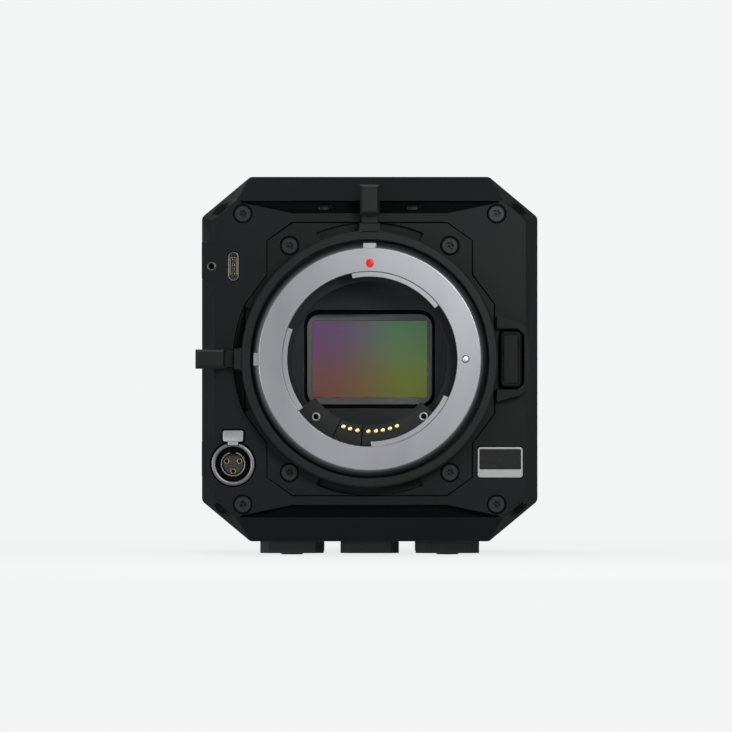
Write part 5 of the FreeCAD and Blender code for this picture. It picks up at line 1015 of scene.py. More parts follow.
@dataclass
class LensMount:
    """The flange with its claws, the locking ring with two levers, the index dot and the lock pin."""

    throat: float = 27.0
    face: float = 34.3
    outer: float = 36.27
    bevel: float = 1.5
    thickness: float = 4.0
    claw: float = 25.5
    claw_levels: Pair = (0.5, 2.0)
    notch_half: float = 2.0
    notch_depth: float = 1.2
    pin_radius: float = 1.0
    pin_x: float = 29.6
    dot_z: float = 29.6
    dot_radius: float = 1.25
    ring_inner: float = 36.85
    ring_outer: float = 39.66
    ring_levels: Pair = (-0.6, 6.7)
    lip: float = 35.7
    lug_tip: float = 42.1
    neck_start: float = 42.0
    knob: Pair = (44.6, 53.8)
    knob_levels: Pair = (-3.5, 6.2)
    knob_half: float = 3.0
    lug_halves: Triple = (3.95, 3.3, 3.2)
    lug_shoulder: float = 40.6
    lug_levels: Pair = (1.0, 8.7)
    neck_half: float = 2.6
    gaps: ClassVar[tuple[Pair, ...]] = ((102.0, 158.6), (216.0, 271.4), (334.3, 398.0))
    levers: ClassVar[tuple[float, ...]] = (90.0, 180.0)

    def build(self) -> None:
        """Models every piece of the mount."""
        self.flange()
        self.ring()
        self.dot()
        self.pin()

    def is_claw(self, middle: Vector) -> bool:
        """Whether a face of the throat's wall carries a claw."""
        low, high = self.claw_levels
        turn = math.degrees(math.atan2(middle.z, middle.x)) % 360
        gap = any(start < turn < end or start < turn + 360 < end for start, end in self.gaps)
        on_wall = abs(math.hypot(middle.x, middle.z) - self.throat) < 0.1
        return on_wall and low < middle.y < high and not gap

    def flange(self) -> None:
        """The bayonet flange, turned in 360 steps, with claws drawn in from its throat."""
        low, high = self.claw_levels
        edge = 0.22
        profile = [(self.throat + edge, 0.0), (self.face - 0.12, 0.0), (self.face, 0.03),
                   (self.outer - 0.1, self.bevel - 0.08),
                   (self.outer, self.bevel + 0.1), (self.outer, self.thickness), (self.throat,
                                                                                  self.thickness),
                   (self.throat, high), (self.throat, low), (self.throat, edge)]
        ring = turned("bayonet_flange", profile, 360, closed=True)
        with editing(ring) as mesh:
            choose(mesh, ring, Pick.FACES, lambda middle, normal: self.is_claw(middle))
            push()
            share = self.claw / self.throat
            scale_to(share, 1.0, share)
        half, reach = self.notch_half, (self.face - 0.1, self.outer + 1.0)
        carve(ring, bar("notch", (-half, half), (-1.0, self.notch_depth), reach),
              bar("notch", (-reach[1], -reach[0]), (-1.0, self.notch_depth), (-half, half)),
              turned("seat", [(self.dot_radius, -1.0), (self.dot_radius, 0.5)], 48,
                     place=(0, 0, self.dot_z)),
              turned("hole",
                     [(self.pin_radius + 0.12, -1.0), (self.pin_radius + 0.12, self.thickness + 1.0)], 48,
                     place=(self.pin_x, 0, 0)))
        mount(smooth(ring, 12), Finish.FLANGE, "flange_silver", "mount_flange")

    def lever(self, angle: float) -> bpy.types.Object:
        """A lug, a neck and a bevelled knob, modelled upright and turned into place."""
        start, end = self.knob
        front, back = self.knob_levels
        root, shoulder, tip = self.lug_halves
        low, middle, top = self.ring_inner + 0.5, self.lug_shoulder, self.lug_tip
        outline = [(-root, low), (root, low), (shoulder, middle), (tip, top), (-tip, top),
                   (-shoulder, middle)]
        lug = soften(drawn("lug", outline, *self.lug_levels), 0.35)
        neck = bar("neck", (-self.neck_half, self.neck_half), (3.0, back),
                   (self.neck_start - 1.0, start + 1.0), 0.4)
        knob = bar("knob", (-self.knob_half, self.knob_half), (front, back), (start, end))
        with editing(knob) as mesh:
            choose(mesh, knob, Pick.FACES, is_front)
            inset(0.75)
            shift(-0.02)
            choose(mesh, knob, Pick.EDGES, lambda at, way: at.y < front + 0.01 and min(
                abs(abs(at.x) - self.knob_half), abs(at.z - start), abs(at.z - end)) < 0.05)
            shift(0.85)
        soften(knob, 0.22, 2, 15)
        whole = weld("lever", lug, neck, knob)
        settle(whole, turn=(0.0, math.radians(90 - angle), 0.0))
        return whole

    def ring(self) -> None:
        """The locking ring that holds the lens, and its two levers."""
        front, back = self.ring_levels
        profile = [(self.ring_inner, front + 0.3), (self.ring_inner + 0.3, front),
                   (self.ring_outer - 0.55, front),
                   (self.ring_outer - 0.12, front + 0.3), (self.ring_outer, front + 0.6), (self.ring_outer,
                                                                                           back),
                   (self.lip, back), (self.lip, 4.3), (self.ring_inner, 4.3)]
        ring = smooth(turned("ring", profile, 256, closed=True), 28)
        whole = weld("locking_ring_and_levers", ring, *[self.lever(angle) for angle in self.levers])
        mount(whole, Finish.RING, "ring_black", "locking_ring", body="locking_ring")

    def dot(self) -> None:
        """The red index dot, filled level and slightly crowned."""
        radius = self.dot_radius - 0.02
        dot = turned("index_mark", [(radius, 0.5), (radius, 0.06), (radius * 0.9, 0.02),
                                    (radius * 0.5, 0.005), (0, 0.0)],
                     48, place=(0, 0, self.dot_z))
        mount(smooth(dot, CRISP), Finish.RED_DOT, "index_red", "index_dot")

    def pin(self) -> None:
        """The lens lock pin, its tip crowned."""
        radius = self.pin_radius
        pin = turned("lock_pin", [(radius, 9.8), (radius, -0.7), (radius * 0.85, -0.9),
                                  (radius * 0.5, -0.98), (0, -1.0)],
                     40, place=(self.pin_x, 0, 0))
        mount(smooth(pin, CRISP), Finish.STEEL, "socket_metal", "lens_lock_pin", body="lens_lock_pin")


@dataclass
class Chamber:
    """The baffle behind the mount, the window's panel, the filter's holder and the sensor's package."""

    pieces: ClassVar[tuple[tuple[str, str, float, Finish, str], ...]] = (
        ("light_baffle", "light_trap", 0.15, Finish.BAFFLE, "chamber_black"),
        ("chamber_plate", "window_panel", 0.05, Finish.CHAMBER, "chamber_black"),
        ("filter_holder", "filter_seat", 0.12, Finish.HOLDER, "chamber_black"),
        ("sensor_package", "sensor_case", 0.12, Finish.CERAMIC, "sensor_ceramic"))

    def build(self) -> None:
        """Models every piece of the chamber."""
        for node, name, width, finish, slot in self.pieces:
            mount(soft_copy(node, name, width), finish, slot, node)


@dataclass
class LensContacts:
    """The moulded contact block in the throat, its sprung pins and its two rivets."""

    outer: float = 27.4
    inner: float = 20.6
    start: float = 215.0
    end: float = 320.0
    front: float = 6.0
    back: float = 10.5
    step: Pair = (244.5, 264.3)
    step_depth: float = 0.6
    pin_circle: float = 22.4
    pin_radius: float = 0.75
    pin_front: float = 5.4
    rivet_circle: float = 24.4
    rivet_radius: float = 1.5
    pins: ClassVar[tuple[float, ...]] = (248.8, 254.3, 260.3, 269.0, 275.0, 280.5, 286.3, 292.2)
    rivets: ClassVar[tuple[float, ...]] = (227.0, 313.3)

    def build(self) -> None:
        """Models every piece of the block."""
        self.block()
        self.sprung_pins()
        self.eyelets()

    def pierced(self, part: bpy.types.Object) -> bpy.types.Object:
        """A part of the block with the rivets' holes through it."""
        hollow = self.rivet_radius - 0.3
        profile = [(hollow, self.front - 1), (hollow, self.back + 1)]
        return carve(part, *[turned("bore", profile, 32, place=place)
                             for place in circle_places(self.rivet_circle, self.rivets)])

    def slab(self, start: float, end: float, front: float) -> bpy.types.Object:
        """One part of the block, with the ledge along its inner edge."""
        body = self.pierced(drawn("slab", sector(self.inner + 0.55, self.outer, start, end), front,
                                  self.back))
        ledge = drawn("ledge", sector(self.inner, self.inner + 0.6, start, end), front + 0.35, self.back)
        return weld("slab", soften(body, 0.14), soften(ledge, 0.1))

    def block(self) -> None:
        """The block: a lowered part with three pins between two plain ones, a slot at each join."""
        gap = 0.32
        low, high = self.step
        block = weld("contact_moulding", self.slab(self.start, low - gap, self.front),
                     self.slab(low + gap, high - gap, self.front + self.step_depth),
                     self.slab(high + gap, self.end, self.front),
                     self.pierced(drawn("base", sector(self.inner + 0.3, self.outer - 0.3, self.start + 0.5,
                                                       self.end - 0.5),
                                        self.front + 1.6, self.back - 0.1)))
        mount(smooth(block), Finish.BLOCK, "contact_black", "contact_block")

    def sprung_pins(self) -> None:
        """Eight gold pins with crowned tips."""
        radius, front = self.pin_radius, self.pin_front
        profile = [(radius, self.back - 0.1), (radius, front + 0.3), (radius * 0.88, front + 0.12),
                   (radius * 0.6, front + 0.03), (0, front)]
        pin = smooth(turned("pin", profile, 28), CRISP)
        whole = spread(pin, "sprung_pins", circle_places(self.pin_circle, self.pins))
        mount(whole, Finish.GOLD, "gold", "contact_pins", body="contact_pins")

    def eyelets(self) -> None:
        """The two bright hollow rivets that hold the block."""
        radius, front = self.rivet_radius, self.front - 0.25
        profile = [(0.75, front + 0.3), (0.9, front + 0.05), (1.1, front), (radius - 0.15, front + 0.08),
                   (radius, front + 0.3), (radius, front + 1.9), (0.75, front + 1.9)]
        ring = smooth(turned("eyelet", profile, 40, closed=True), CRISP)
        whole = spread(ring, "eyelets", circle_places(self.rivet_circle, self.rivets))
        mount(whole, Finish.RIVET, "socket_metal", "contact_rivets")


@dataclass
class Fasteners:
    """The six-lobe screws of the face, the mount, the back, the top and the base."""

    body_places: tuple[Pair, ...] = ((-39.3, -45.0), (39.3, -45.0), (39.3, 45.0), (-39.3, 45.0))
    mount_places: tuple[Pair, ...] = ((-24.8, -35.09), (24.8, -35.09), (24.8, 35.09), (-24.8, 35.09))
    front_level: float = 7.2
    back_level: float = 101.8
    large: Screw = Screw(2.8, 2.0, 1.48, 15.9)
    short: Screw = Screw(2.8, 2.0, 1.48, 5.4)
    small: Screw = Screw(2.2, 1.0, 0.98, 4.4, socket=0.85, socket_depth=0.9, pitch=0.4, edge=0.25, post=0.2)

    def build(self) -> None:
        """Models every set of screws."""
        screws("face_fixings", self.large, [(x, self.front_level, z) for x, z in self.body_places],
               replaced="face_screws")
        screws("mount_fixings", self.short, [(x, self.front_level, z) for x, z in self.mount_places],
               replaced="mount_screws")
        screws("back_fixings", self.large, [(x, self.back_level, z) for x, z in self.body_places],
               (0, 0, math.pi), "rear_screws")
        top_low, top_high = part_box("top_screws")
        base_low, base_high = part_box("base_screws")
        for name, low, high, level, turn, replaced in (
                ("top_fixings", top_low, top_high, top_high.z, -math.pi / 2, "top_screws"),
                ("base_fixings", base_low, base_high, base_low.z, math.pi / 2, "base_screws")):
            x = high.x / MM - self.small.head_radius
            ends = [low.y / MM + self.small.head_radius, high.y / MM - self.small.head_radius]
            places = [(side * x, y, level / MM) for side in (-1, 1) for y in ends]
            screws(name, self.small, places, (turn, 0, 0), replaced)


@dataclass
class DataSockets:
    """The slim sockets on the face and the back: a shell, a tongue with strips, and shield springs."""

    width: float = 3.3
    height: float = 8.9
    end_radius: float = 1.58
    wall: float = 0.35
    depth: float = 7.0
    floor: float = 1.0
    tongue: Pair = (0.4, 3.25)
    tongue_sunk: float = 1.0
    strips: int = 12
    strip_pitch: float = 0.5
    places: tuple[Triple, ...] = ((-42.2, 7.0, 28.7), (37.5, 102.0, -20.0))
    turns: tuple[Triple, ...] = ((0.0, 0.0, 0.0), (0.0, 0.0, math.pi))

    def build(self) -> None:
        """Models the shells, the tongues and the strips."""
        self.shells()
        self.tongues()
        self.contacts()

    def shells(self) -> None:
        """A drawn metal shell with a rolled mouth, and a spring plate down each side."""
        inside = self.depth - self.floor
        shell = drawn("shell", rounded(self.width, self.height, self.end_radius), 0.0, self.depth)
        with editing(shell) as mesh:
            choose(mesh, shell, Pick.FACES, is_front)
            inset(self.wall)
            push(0, inside, 0)
        soften(shell, 0.1, 2, CRISP)
        springs = [bar("spring", (low, low + 0.42), (1.4, inside + 0.2), (-2.75, 2.75),
                       0.08) for low in (-1.26, 0.84)]
        whole = spread(weld("shell", shell, *springs), "data_shells", self.places, self.turns)
        mount(whole, Finish.PLATED, "socket_metal", "usb_sockets")

    def tongues(self) -> None:
        """The moulded tongues that carry the strips, their tips tapered."""
        half, reach = self.tongue
        tongue = bar("tongue", (-half, half), (self.tongue_sunk, self.depth - self.floor + 0.2),
                     (-reach, reach))
        with editing(tongue) as mesh:
            choose(mesh, tongue, Pick.FACES, is_front)
            scale_to(0.72, 1.0, 0.96)
        whole = spread(soften(tongue, 0.06), "data_tongues", self.places, self.turns)
        mount(whole, Finish.SOCKET_BLACK, "contact_black", "usb_tongues")

    def contacts(self) -> None:
        """The gold strips along both sides of each tongue."""
        half = self.tongue[0]
        strip = bar("strip", (half - 0.06, half + 0.07), (self.tongue_sunk + 0.12, self.depth - self.floor),
                    (-0.13, 0.13), 0.03)
        middle = (self.strips - 1) / 2
        row = [(0.0, 0.0, (index - middle) * self.strip_pitch) for index in range(self.strips)]
        rows = spread(strip, "rows", row * 2, [(0, 0, 0)] * self.strips + [(0, math.pi, 0)] * self.strips)
        whole = spread(rows, "data_strips", self.places, self.turns)
        mount(whole, Finish.GOLD, "gold")


@dataclass
class AudioSocket:
    """The round three-contact socket on the face, and the sprung latch over it."""

    x: float = -42.3
    z: float = -32.5
    front: float = 6.6
    outer: float = 6.7
    annulus: Pair = (3.9, 5.4)
    bore: float = 3.35
    length: float = 10.4
    floor: float = 8.4
    sunk: float = 1.0
    circle: float = 2.2
    contact: float = 0.85
    latch_z: Pair = (-25.55, -22.05)
    latch_half: float = 3.15
    neck_half: float = 1.65
    notch_depth: float = 1.35
    latch_levels: Pair = (5.8, 9.0)
    angles: ClassVar[tuple[float, ...]] = (25.0, 155.0, 270.0)

    @property
    def place(self) -> Triple:
        """The middle of the socket's front."""
        return (self.x, self.front, self.z)

    def build(self) -> None:
        """Models every piece of the socket."""
        self.shell()
        self.liner()
        self.core()
        self.contacts()
        self.latch()

    def contact_places(self) -> list[Triple]:
        """Where the three contacts stand, with level 0 at the socket's front."""
        spots = [around(self.circle, angle) for angle in self.angles]
        return [(self.x + x, self.front, self.z + z) for x, z in spots]

    def shell(self) -> None:
        """The plated shell: a rim notched for the latch, an annulus, and an inner ring with a key slot."""
        inner, gap = self.annulus
        profile = [(self.outer - 0.3, self.length), (self.outer, self.length - 0.2), (self.outer, 0.42),
                   (self.outer - 0.07, 0.16),
                   (self.outer - 0.3, 0.0), (gap + 0.35, 0.0), (gap + 0.08, 0.14), (gap, 0.4), (gap,
                                                                                                self.floor),
                   (inner, self.floor), (inner, 0.45), (inner - 0.06, 0.3), (inner - 0.12,
                                                                             0.24), (self.bore + 0.12,
                                                                                     0.24),
                   (self.bore + 0.06, 0.3), (self.bore, 0.45), (self.bore, self.floor)]
        shell = smooth(turned("audio_shell", profile, 96, place=self.place), CRISP)
        carve(shell, bar("key", about(self.x, 0.95), (self.front - 1, self.front + 3.0),
                         (self.z + 3.0, self.z + 4.3)),
              bar("notch", (self.x - self.neck_half - 0.2, self.x + self.neck_half + 0.2),
                  (self.front - 1, self.front + self.notch_depth), (self.latch_z[0] - 1.35,
                                                                    self.latch_z[0] + 1)))
        mount(smooth(shell, CRISP), Finish.PLATED, "socket_metal", "xlr_shell")

    def liner(self) -> None:
        """The black moulding at the bottom of the annulus, with the key that fills the slot, its near-black
        partly the moulding's own and partly painted shade of the deep annulus.
        """
        inner, gap = self.annulus
        back = self.floor - 0.05
        ring = turned("ring", [(gap - 0.03, back), (gap - 0.03, 2.0), (gap - 0.2, 1.8), (inner + 0.2, 1.8),
                               (inner + 0.03, 2.0),
                               (inner + 0.03, back)], 96, place=self.place, closed=True)
        key = bar("key", about(self.x, 0.75), (self.front + 0.7, self.front + back),
                  (self.z + 3.3, self.z + 4.6), 0.12)
        mount(weld("audio_liner", smooth(ring, CRISP), key), Finish.HOLDER, "contact_black")

    def core(self) -> None:
        """The moulded core with three holes and a flat for the key."""
        radius = self.bore - 0.1
        core = turned("audio_core", [(radius, self.floor - 0.05), (radius, self.sunk + 0.2),
                                     (radius - 0.18, self.sunk)], 72,
                      place=self.place)
        holes = [turned("hole", [(self.contact, -1.0), (self.contact, 9.0)], 32,
                        place=place) for place in self.contact_places()]
        flat = bar("flat", about(self.x, 1.35), (self.front - 1, self.front + 2.2),
                   (self.z + 2.5, self.z + 4.2))
        mount(smooth(carve(core, flat, *holes), CRISP), Finish.CORE, "contact_black", "xlr_insert")

    def contacts(self) -> None:
        """Three gold sleeves with flared mouths."""
        radius, start = self.contact - 0.02, self.sunk
        sleeve = turned("sleeve", [(radius, 8.2), (radius, start + 0.05), (radius - 0.08, start - 0.05),
                                   (radius - 0.2, start),
                                   (0.48, start + 0.3), (0.42, 7.6), (0.3, 8.2)], 32, closed=True)
        whole = spread(smooth(sleeve, CRISP), "audio_contacts", self.contact_places())
        mount(whole, Finish.AGED_GOLD, "gold", "xlr_contacts")

    def latch(self) -> None:
        """The pressed tab, and its neck over the socket's rim."""
        low, high = self.latch_z
        front, back = self.latch_levels
        head = drawn("head", rounded(self.latch_half * 2, high - low, 0.6, (self.x, (low + high) / 2)),
                     front, back)
        with editing(head) as mesh:
            choose(mesh, head, Pick.FACES, is_front)
            inset(0.35)
            shift(0.08)
        neck = bar("neck", about(self.x, self.neck_half), (front + 0.1, front + 0.7),
                   (low - 1.2, low + 0.8), 0.2)
        mount(weld("audio_latch", soften(head, 0.16), neck), Finish.TAB, "socket_metal", "xlr_latch",
              body="xlr_latch")


@dataclass
class FaceTrim:
    """The badge, the locking hole's eyelet, the release button and the microphones."""

    badge: Pair = (40.4, -31.95)
    badge_size: Pair = (13.94, 9.44)
    badge_levels: Pair = (6.8, 7.38)
    window_size: Pair = (12.85, 6.25)
    window_drop: float = 0.95
    eyelet: Pair = (-48.95, 28.72)
    microphone: Pair = (13.8, 47.1)
    face: float = 7.0
    capsule_level: float = 15.0
    line: ClassVar[tuple[Pair, ...]] = ((0.75, 0.0), (0.06, -0.16), (0.14, 0.0), (0.06, 0.16))

    def build(self) -> None:
        """Models every fitting."""
        self.plate()
        self.eyelet_ring()
        self.release()
        self.capsules()

    def plate(self) -> None:
        """A metal badge with a dark enamelled window over a bare strip."""
        x, z = self.badge
        front, back = self.badge_levels
        middle = (x, z + self.window_drop)
        badge = drawn("badge_frame", rounded(*self.badge_size, 0.9, self.badge), front, back)
        carve(badge, drawn("window", rounded(*self.window_size, 0.35, middle), front - 1, front + 0.25))
        mount(soften(badge, 0.07, 2, CRISP), Finish.BADGE, "badge_metal", "badge_plate")
        width, height = self.window_size
        enamel = drawn("badge_window", rounded(width - 0.06, height - 0.06, 0.32, middle), front + 0.12,
                       front + 0.3)
        mount(soften(enamel, 0.04), Finish.BADGE_INSET, "contact_black")

    def eyelet_ring(self) -> None:
        """The plain steel ring round the locking hole."""
        x, z = self.eyelet
        profile = [(0.94, 1.4), (0.94, 0.02), (1.0, -0.06), (1.32, -0.06), (1.42, 0.02), (1.42, 0.12),
                   (1.05, 0.12), (1.05, 1.4)]
        ring = turned("locking_eyelet", profile, 48, place=(x, self.face, z), closed=True)
        mount(smooth(ring, CRISP), Finish.EYELET, "screw_black")

    def release(self) -> None:
        """The lens release button, with a fine line following its edge."""
        button = soft_copy("release_button", "release_key", 0.18)
        with editing(button) as mesh:
            choose(mesh, button, Pick.FACES, lambda middle, normal: normal.y < -0.95 and middle.y < 2.1)
            for width, depth in self.line:
                inset(width, depth)
        mount(smooth(button, 35), Finish.BUTTON, "button_grey", "release_button", body="release_button")

    def capsules(self) -> None:
        """The two microphone capsules behind their slots, a gauze dished into each rim."""
        capsule = turned("capsule", [(2.4, 3.6), (2.4, 0.3), (2.2, 0.0), (1.95, 0.0), (1.85, 0.3),
                                     (1.2, 0.2), (0, 0.12)], 48)
        x, z = self.microphone
        whole = spread(smooth(capsule, CRISP), "microphone_capsules",
                       [(x, self.capsule_level, z), (-x, self.capsule_level, z)])
        mount(whole, Finish.MESH, "microphone_metal", "microphones")


@dataclass
class ScreenSide:
    """The side screen in its surround, the record button, four keys and the power switch."""

    surround: Pair = (63.6, 49.6)
    middle: Pair = (56.0, 15.0)
    levels: Pair = (49.5, 52.0)
    pocket: Pair = (56.7, 42.7)
    glass_levels: Pair = (50.5, 51.7)
    control_z: float = -24.0
    record_y: float = 32.0
    record_radius: float = 5.5
    key_size: Pair = (8.0, 5.0)
    key_levels: Pair = (47.1, 51.8)
    lip: float = 0.6
    keys: ClassVar[tuple[float, ...]] = (48.0, 60.0, 72.0, 84.0)
    ribs: ClassVar[tuple[float, ...]] = (28.1, 29.05, 30.0, 30.95)

    def build(self) -> None:
        """Models every piece of the screen side."""
        self.screen()
        self.record()
        self.function_keys()
        self.switch()

    def screen(self) -> None:
        """A surround with a soft edge, and the dark glass sunk in it."""
        start, end = self.levels
        surround = drawn("screen_surround", rounded(*self.surround, 3.0, self.middle), start, end, Axis.X)
        carve(surround, drawn("pocket", rounded(*self.pocket, 1.5, self.middle), self.glass_levels[0],
                              end + 1, Axis.X))
        mount(soften(surround, 0.4, 3, CRISP), Finish.BODY, "body_black", "screen_bezel")
        width, height = self.pocket
        glass = drawn("touch_glass", rounded(width - 0.1, height - 0.1, 1.45, self.middle),
                      *self.glass_levels, Axis.X)
        mount(soften(glass, 0.22, 3, CRISP), Finish.SCREEN, "screen_glass", "screen_glass")

    def record(self) -> None:
        """The round record button, dished, with a rounded rim."""
        start, end = self.key_levels
        height, radius = end - start, self.record_radius
        profile = [(radius + 0.9, 0.0), (radius + 0.9, self.lip), (radius, self.lip),
                   (radius, height - 0.35),
                   (radius - 0.12, height - 0.1), (radius - 0.4, height), (radius - 0.9,
                                                                           height), (radius - 1.3,
                                                                                     height - 0.16),
                   (radius * 0.5, height - 0.34), (0, height - 0.4)]
        button = turned("record_key", profile, 72, Axis.X, (start, self.record_y, self.control_z))
        mount(smooth(button, CRISP), Finish.RECORD, "record_red", "record_button", body="record_button")

    def function_keys(self) -> None:
        """Four dished keys over hidden lips."""
        start, end = self.key_levels
        width, height = self.key_size
        for number, y in enumerate(self.keys, start=1):
            cap = drawn("cap", rounded(width, height, 1.4, (y, self.control_z)), start + self.lip, end,
                        Axis.X)
            with editing(cap) as mesh:
                choose(mesh, cap, Pick.FACES, lambda middle, normal: normal.x > FACING)
                inset(0.7)
                inset(0.5, -0.18)
            lip = drawn("lip", rounded(width + 1.7, height + 1.7, 1.6, (y, self.control_z)), start,
                        start + self.lip, Axis.X)
            whole = weld(f"soft_key_{number}", soften(cap, 0.2, 2, CRISP), lip)
            mount(whole, Finish.BUTTON, "button_grey", f"function_key_{number}",
                  body=f"function_key_{number}")

    def switch(self) -> None:
        """The sliding power switch, ribbed across its travel."""
        start = self.key_levels[0]
        knob = bar("knob", (start + self.lip, 51.7), (27.0, 32.0), (-38.5, -35.5), 0.25)
        ribs = [bar("rib", (51.2, 52.6), about(y, 0.22), (-38.0, -36.0)) for y in self.ribs]
        tail = bar("tail", (start, start + self.lip), (27.0, 32.0), (-39.5, -34.5), 0.1)
        whole = weld("slide_switch", smooth(carve(knob, *ribs), 35), tail)
        mount(whole, Finish.BUTTON, "button_grey", "power_switch", body="power_switch")


@dataclass
class BackPanel:
    """The sockets of the back, and the battery's contacts."""

    column: float = 37.5
    back: float = 102.0
    board: float = 87.1
    bnc_z: float = 21.0
    network_z: float = -3.0
    dc_z: float = -10.0
    jack_z: tuple[float, ...] = (9.0, 22.0)
    blades: tuple[float, ...] = (-8.0, -4.0, 0.0, 4.0, 8.0)
    latch_levels: Triple = (94.7, 97.7, 107.1)
    latch_z: float = 36.0
    latch_half: Pair = (5.0, 3.0)
    ramp: float = 0.8
    root: float = -14.9

    def build(self) -> None:
        """Models every piece of the back."""
        self.video()
        self.network()
        self.power()
        self.jacks()
        self.contacts()
        self.latch()

    def video(self) -> None:
        """The bayonet video connector: a nut, a threaded barrel, two lugs, an insulator and a gold pin."""
        place = (self.column, self.back, self.bnc_z)
        points = [around(6.9, 60 * step) for step in range(6)]
        nut = soften(drawn("nut", [(self.column + x, self.bnc_z + z) for x, z in points], self.back,
                           self.back + 1.5), 0.3, 2)
        profile = [(4.2, self.root), (4.2, 1.5)]
        for turn in range(4):
            profile += [(4.75, 1.75 + turn * 0.7), (4.45, 2.1 + turn * 0.7)]
        profile += [(4.5, 4.5), (4.8, 4.6), (4.8, 9.5), (4.55, 9.8), (4.1, 9.95), (3.7, 9.8), (3.6, 9.4),
                    (3.6, 1.6), (2.0, 1.6),
                    (2.0, self.root)]
        barrel = smooth(turned("barrel", profile, 72, place=place, closed=True), 35)
        lug = turned("lug", [(0.9, -5.8), (0.9, 5.55), (0.65, 5.8)], 28, Axis.X,
                     (self.column, self.back + 7.0, self.bnc_z))
        bore = turned("bore", [(3.62, 0.0), (3.62, 12.0)], 48, place=place)
        whole = weld("video_connector", nut, barrel, smooth(carve(lug, bore), CRISP))
        mount(whole, Finish.NICKEL, "socket_metal", "bnc_connector")
        core = turned("video_insulator", [(3.5, 1.55), (3.5, 5.4), (3.3, 5.6), (1.3, 5.6), (1.2, 5.4),
                                          (1.2, 3.0), (0.8, 3.0),
                                          (0.8, 1.55)], 48, place=place, closed=True)
        mount(smooth(core, CRISP), Finish.SOCKET_BLACK, "contact_black")
        pin = turned("video_pin", [(0.7, 1.0), (0.7, 7.6), (0.55, 7.95), (0.3, 8.0), (0.25, 7.0), (0, 6.9)],
                     28, place=place)
        mount(smooth(pin, CRISP), Finish.GOLD, "gold")

    def network(self) -> None:
        """The network socket: a folded case, a stepped mouth and eight sprung wires."""
        x, z, back = self.column, self.network_z, self.back
        case = bar("network_case", about(x, 7.5), (self.board, back), about(z, 6.7))
        carve(case, bar("mouth", about(x, 5.9), (back - 11, back + 1), (z - 2.6, z + 4.0)),
              bar("step", about(x, 3.3), (back - 11, back + 1), (z - 3.6, z - 2.5)),
              bar("step", about(x, 1.7), (back - 11, back + 1), (z - 4.0, z - 3.5)))
        mount(soften(case, 0.18, 2, CRISP), Finish.NICKEL, "socket_metal", "network_socket")
        wire = bar("wire", (-0.18, 0.18), (0.0, 8.5), (-0.16, 0.16), 0.06)
        settle(wire, turn=(-0.32, 0.0, 0.0))
        wires = spread(wire, "network_wires",
                       [(x + (index - 3.5) * 1.02, back - 9.6, z + 3.4) for index in range(8)])
        mount(wires, Finish.GOLD, "gold")

    def power(self) -> None:
        """The locking power inlet: a collar, a keyed well and two pins."""
        place = (-self.column, self.back, self.dc_z)
        profile = [(5.8, self.root), (6.0, -14.7), (6.0, 0.7), (5.7, 1.0), (4.6, 1.0), (4.3, 0.8),
                   (4.2, 0.4), (4.2, -5.0)]
        collar = turned("power_inlet", profile, 72, place=place)
        carve(collar, bar("key", about(-self.column, 0.9), (self.back - 4, self.back + 2),
                          (self.dc_z + 3.8, self.dc_z + 5.0)))
        mount(smooth(collar, CRISP), Finish.SOCKET_BLACK, "contact_black", "dc_socket")
        pin = turned("pin", [(0.8, -5.2), (0.8, -0.4), (0.6, -0.05), (0, 0.0)], 28)
        pins = spread(smooth(pin, CRISP), "power_pins",
                      [(-self.column + side * 1.6, self.back, self.dc_z) for side in (-1, 1)])
        mount(pins, Finish.NICKEL, "socket_metal")

    def jacks(self) -> None:
        """Two small audio jacks, a bright rim let into each."""
        places = [(-self.column, self.back, z) for z in self.jack_z]
        body = turned("body", [(4.0, self.root), (4.0, -0.2), (3.8, 0.0), (2.6, 0.0), (2.5, -0.2),
                               (1.8, -0.3), (1.75, -0.6),
                               (1.75, -13.0), (1.5, self.root)], 56, closed=True)
        mount(spread(smooth(body, CRISP), "jack_bodies", places), Finish.SOCKET_BLACK, "contact_black",
              "audio_jacks")
        rim = turned("rim", [(2.48, -0.3), (2.48, -0.04), (2.38, 0.0), (1.95, 0.0), (1.78, -0.12),
                             (1.78, -1.6), (1.95, -1.6),
                             (1.95, -0.3)], 48, closed=True)
        mount(spread(smooth(rim, CRISP), "jack_rims", places), Finish.GOLD, "gold")

    def contacts(self) -> None:
        """The five gold blades of the battery plate, their tips rounded."""
        blade = bar("blade", (-0.5, 0.5), (103.0, 106.9), (-31.0, -25.0), 0.3, 3)
        whole = spread(blade, "battery_blades", [(x, 0.0, 0.0) for x in self.blades])
        mount(whole, Finish.GOLD, "gold", "battery_contacts")

    def latch(self) -> None:
        """The battery's sprung latch: a ramped head with grip grooves, on a wider root."""
        (start, root_end, end), z, half = self.latch_levels, self.latch_z, self.latch_half
        head = drawn("head", rounded(2 * half[0], 2 * half[1], 1.0, (0.0, z)), root_end - 0.1, end)
        with editing(head) as mesh:
            choose(mesh, head, Pick.VERTS, lambda middle,
                   normal: middle.y > end - 0.1 and middle.z > z + half[1] - 1.1)
            shift(-self.ramp)
        grooves = [bar("groove", (-3.4, 3.4), (end - 0.3, end + 1), (z + rise - 0.18, z + rise + 0.18))
                   for rise in (-1.9, -1.1, -0.3, 0.5)]
        root = bar("root", (-half[0] - 1, half[0] + 1), (start, root_end),
                   (z - half[1] - 1, z + half[1] + 1), 0.3)
        whole = weld("battery_tab", soften(carve(head, *grooves), 0.12, 2, 25), root)
        mount(whole, Finish.BUTTON, "button_grey", "battery_latch", body="battery_latch")


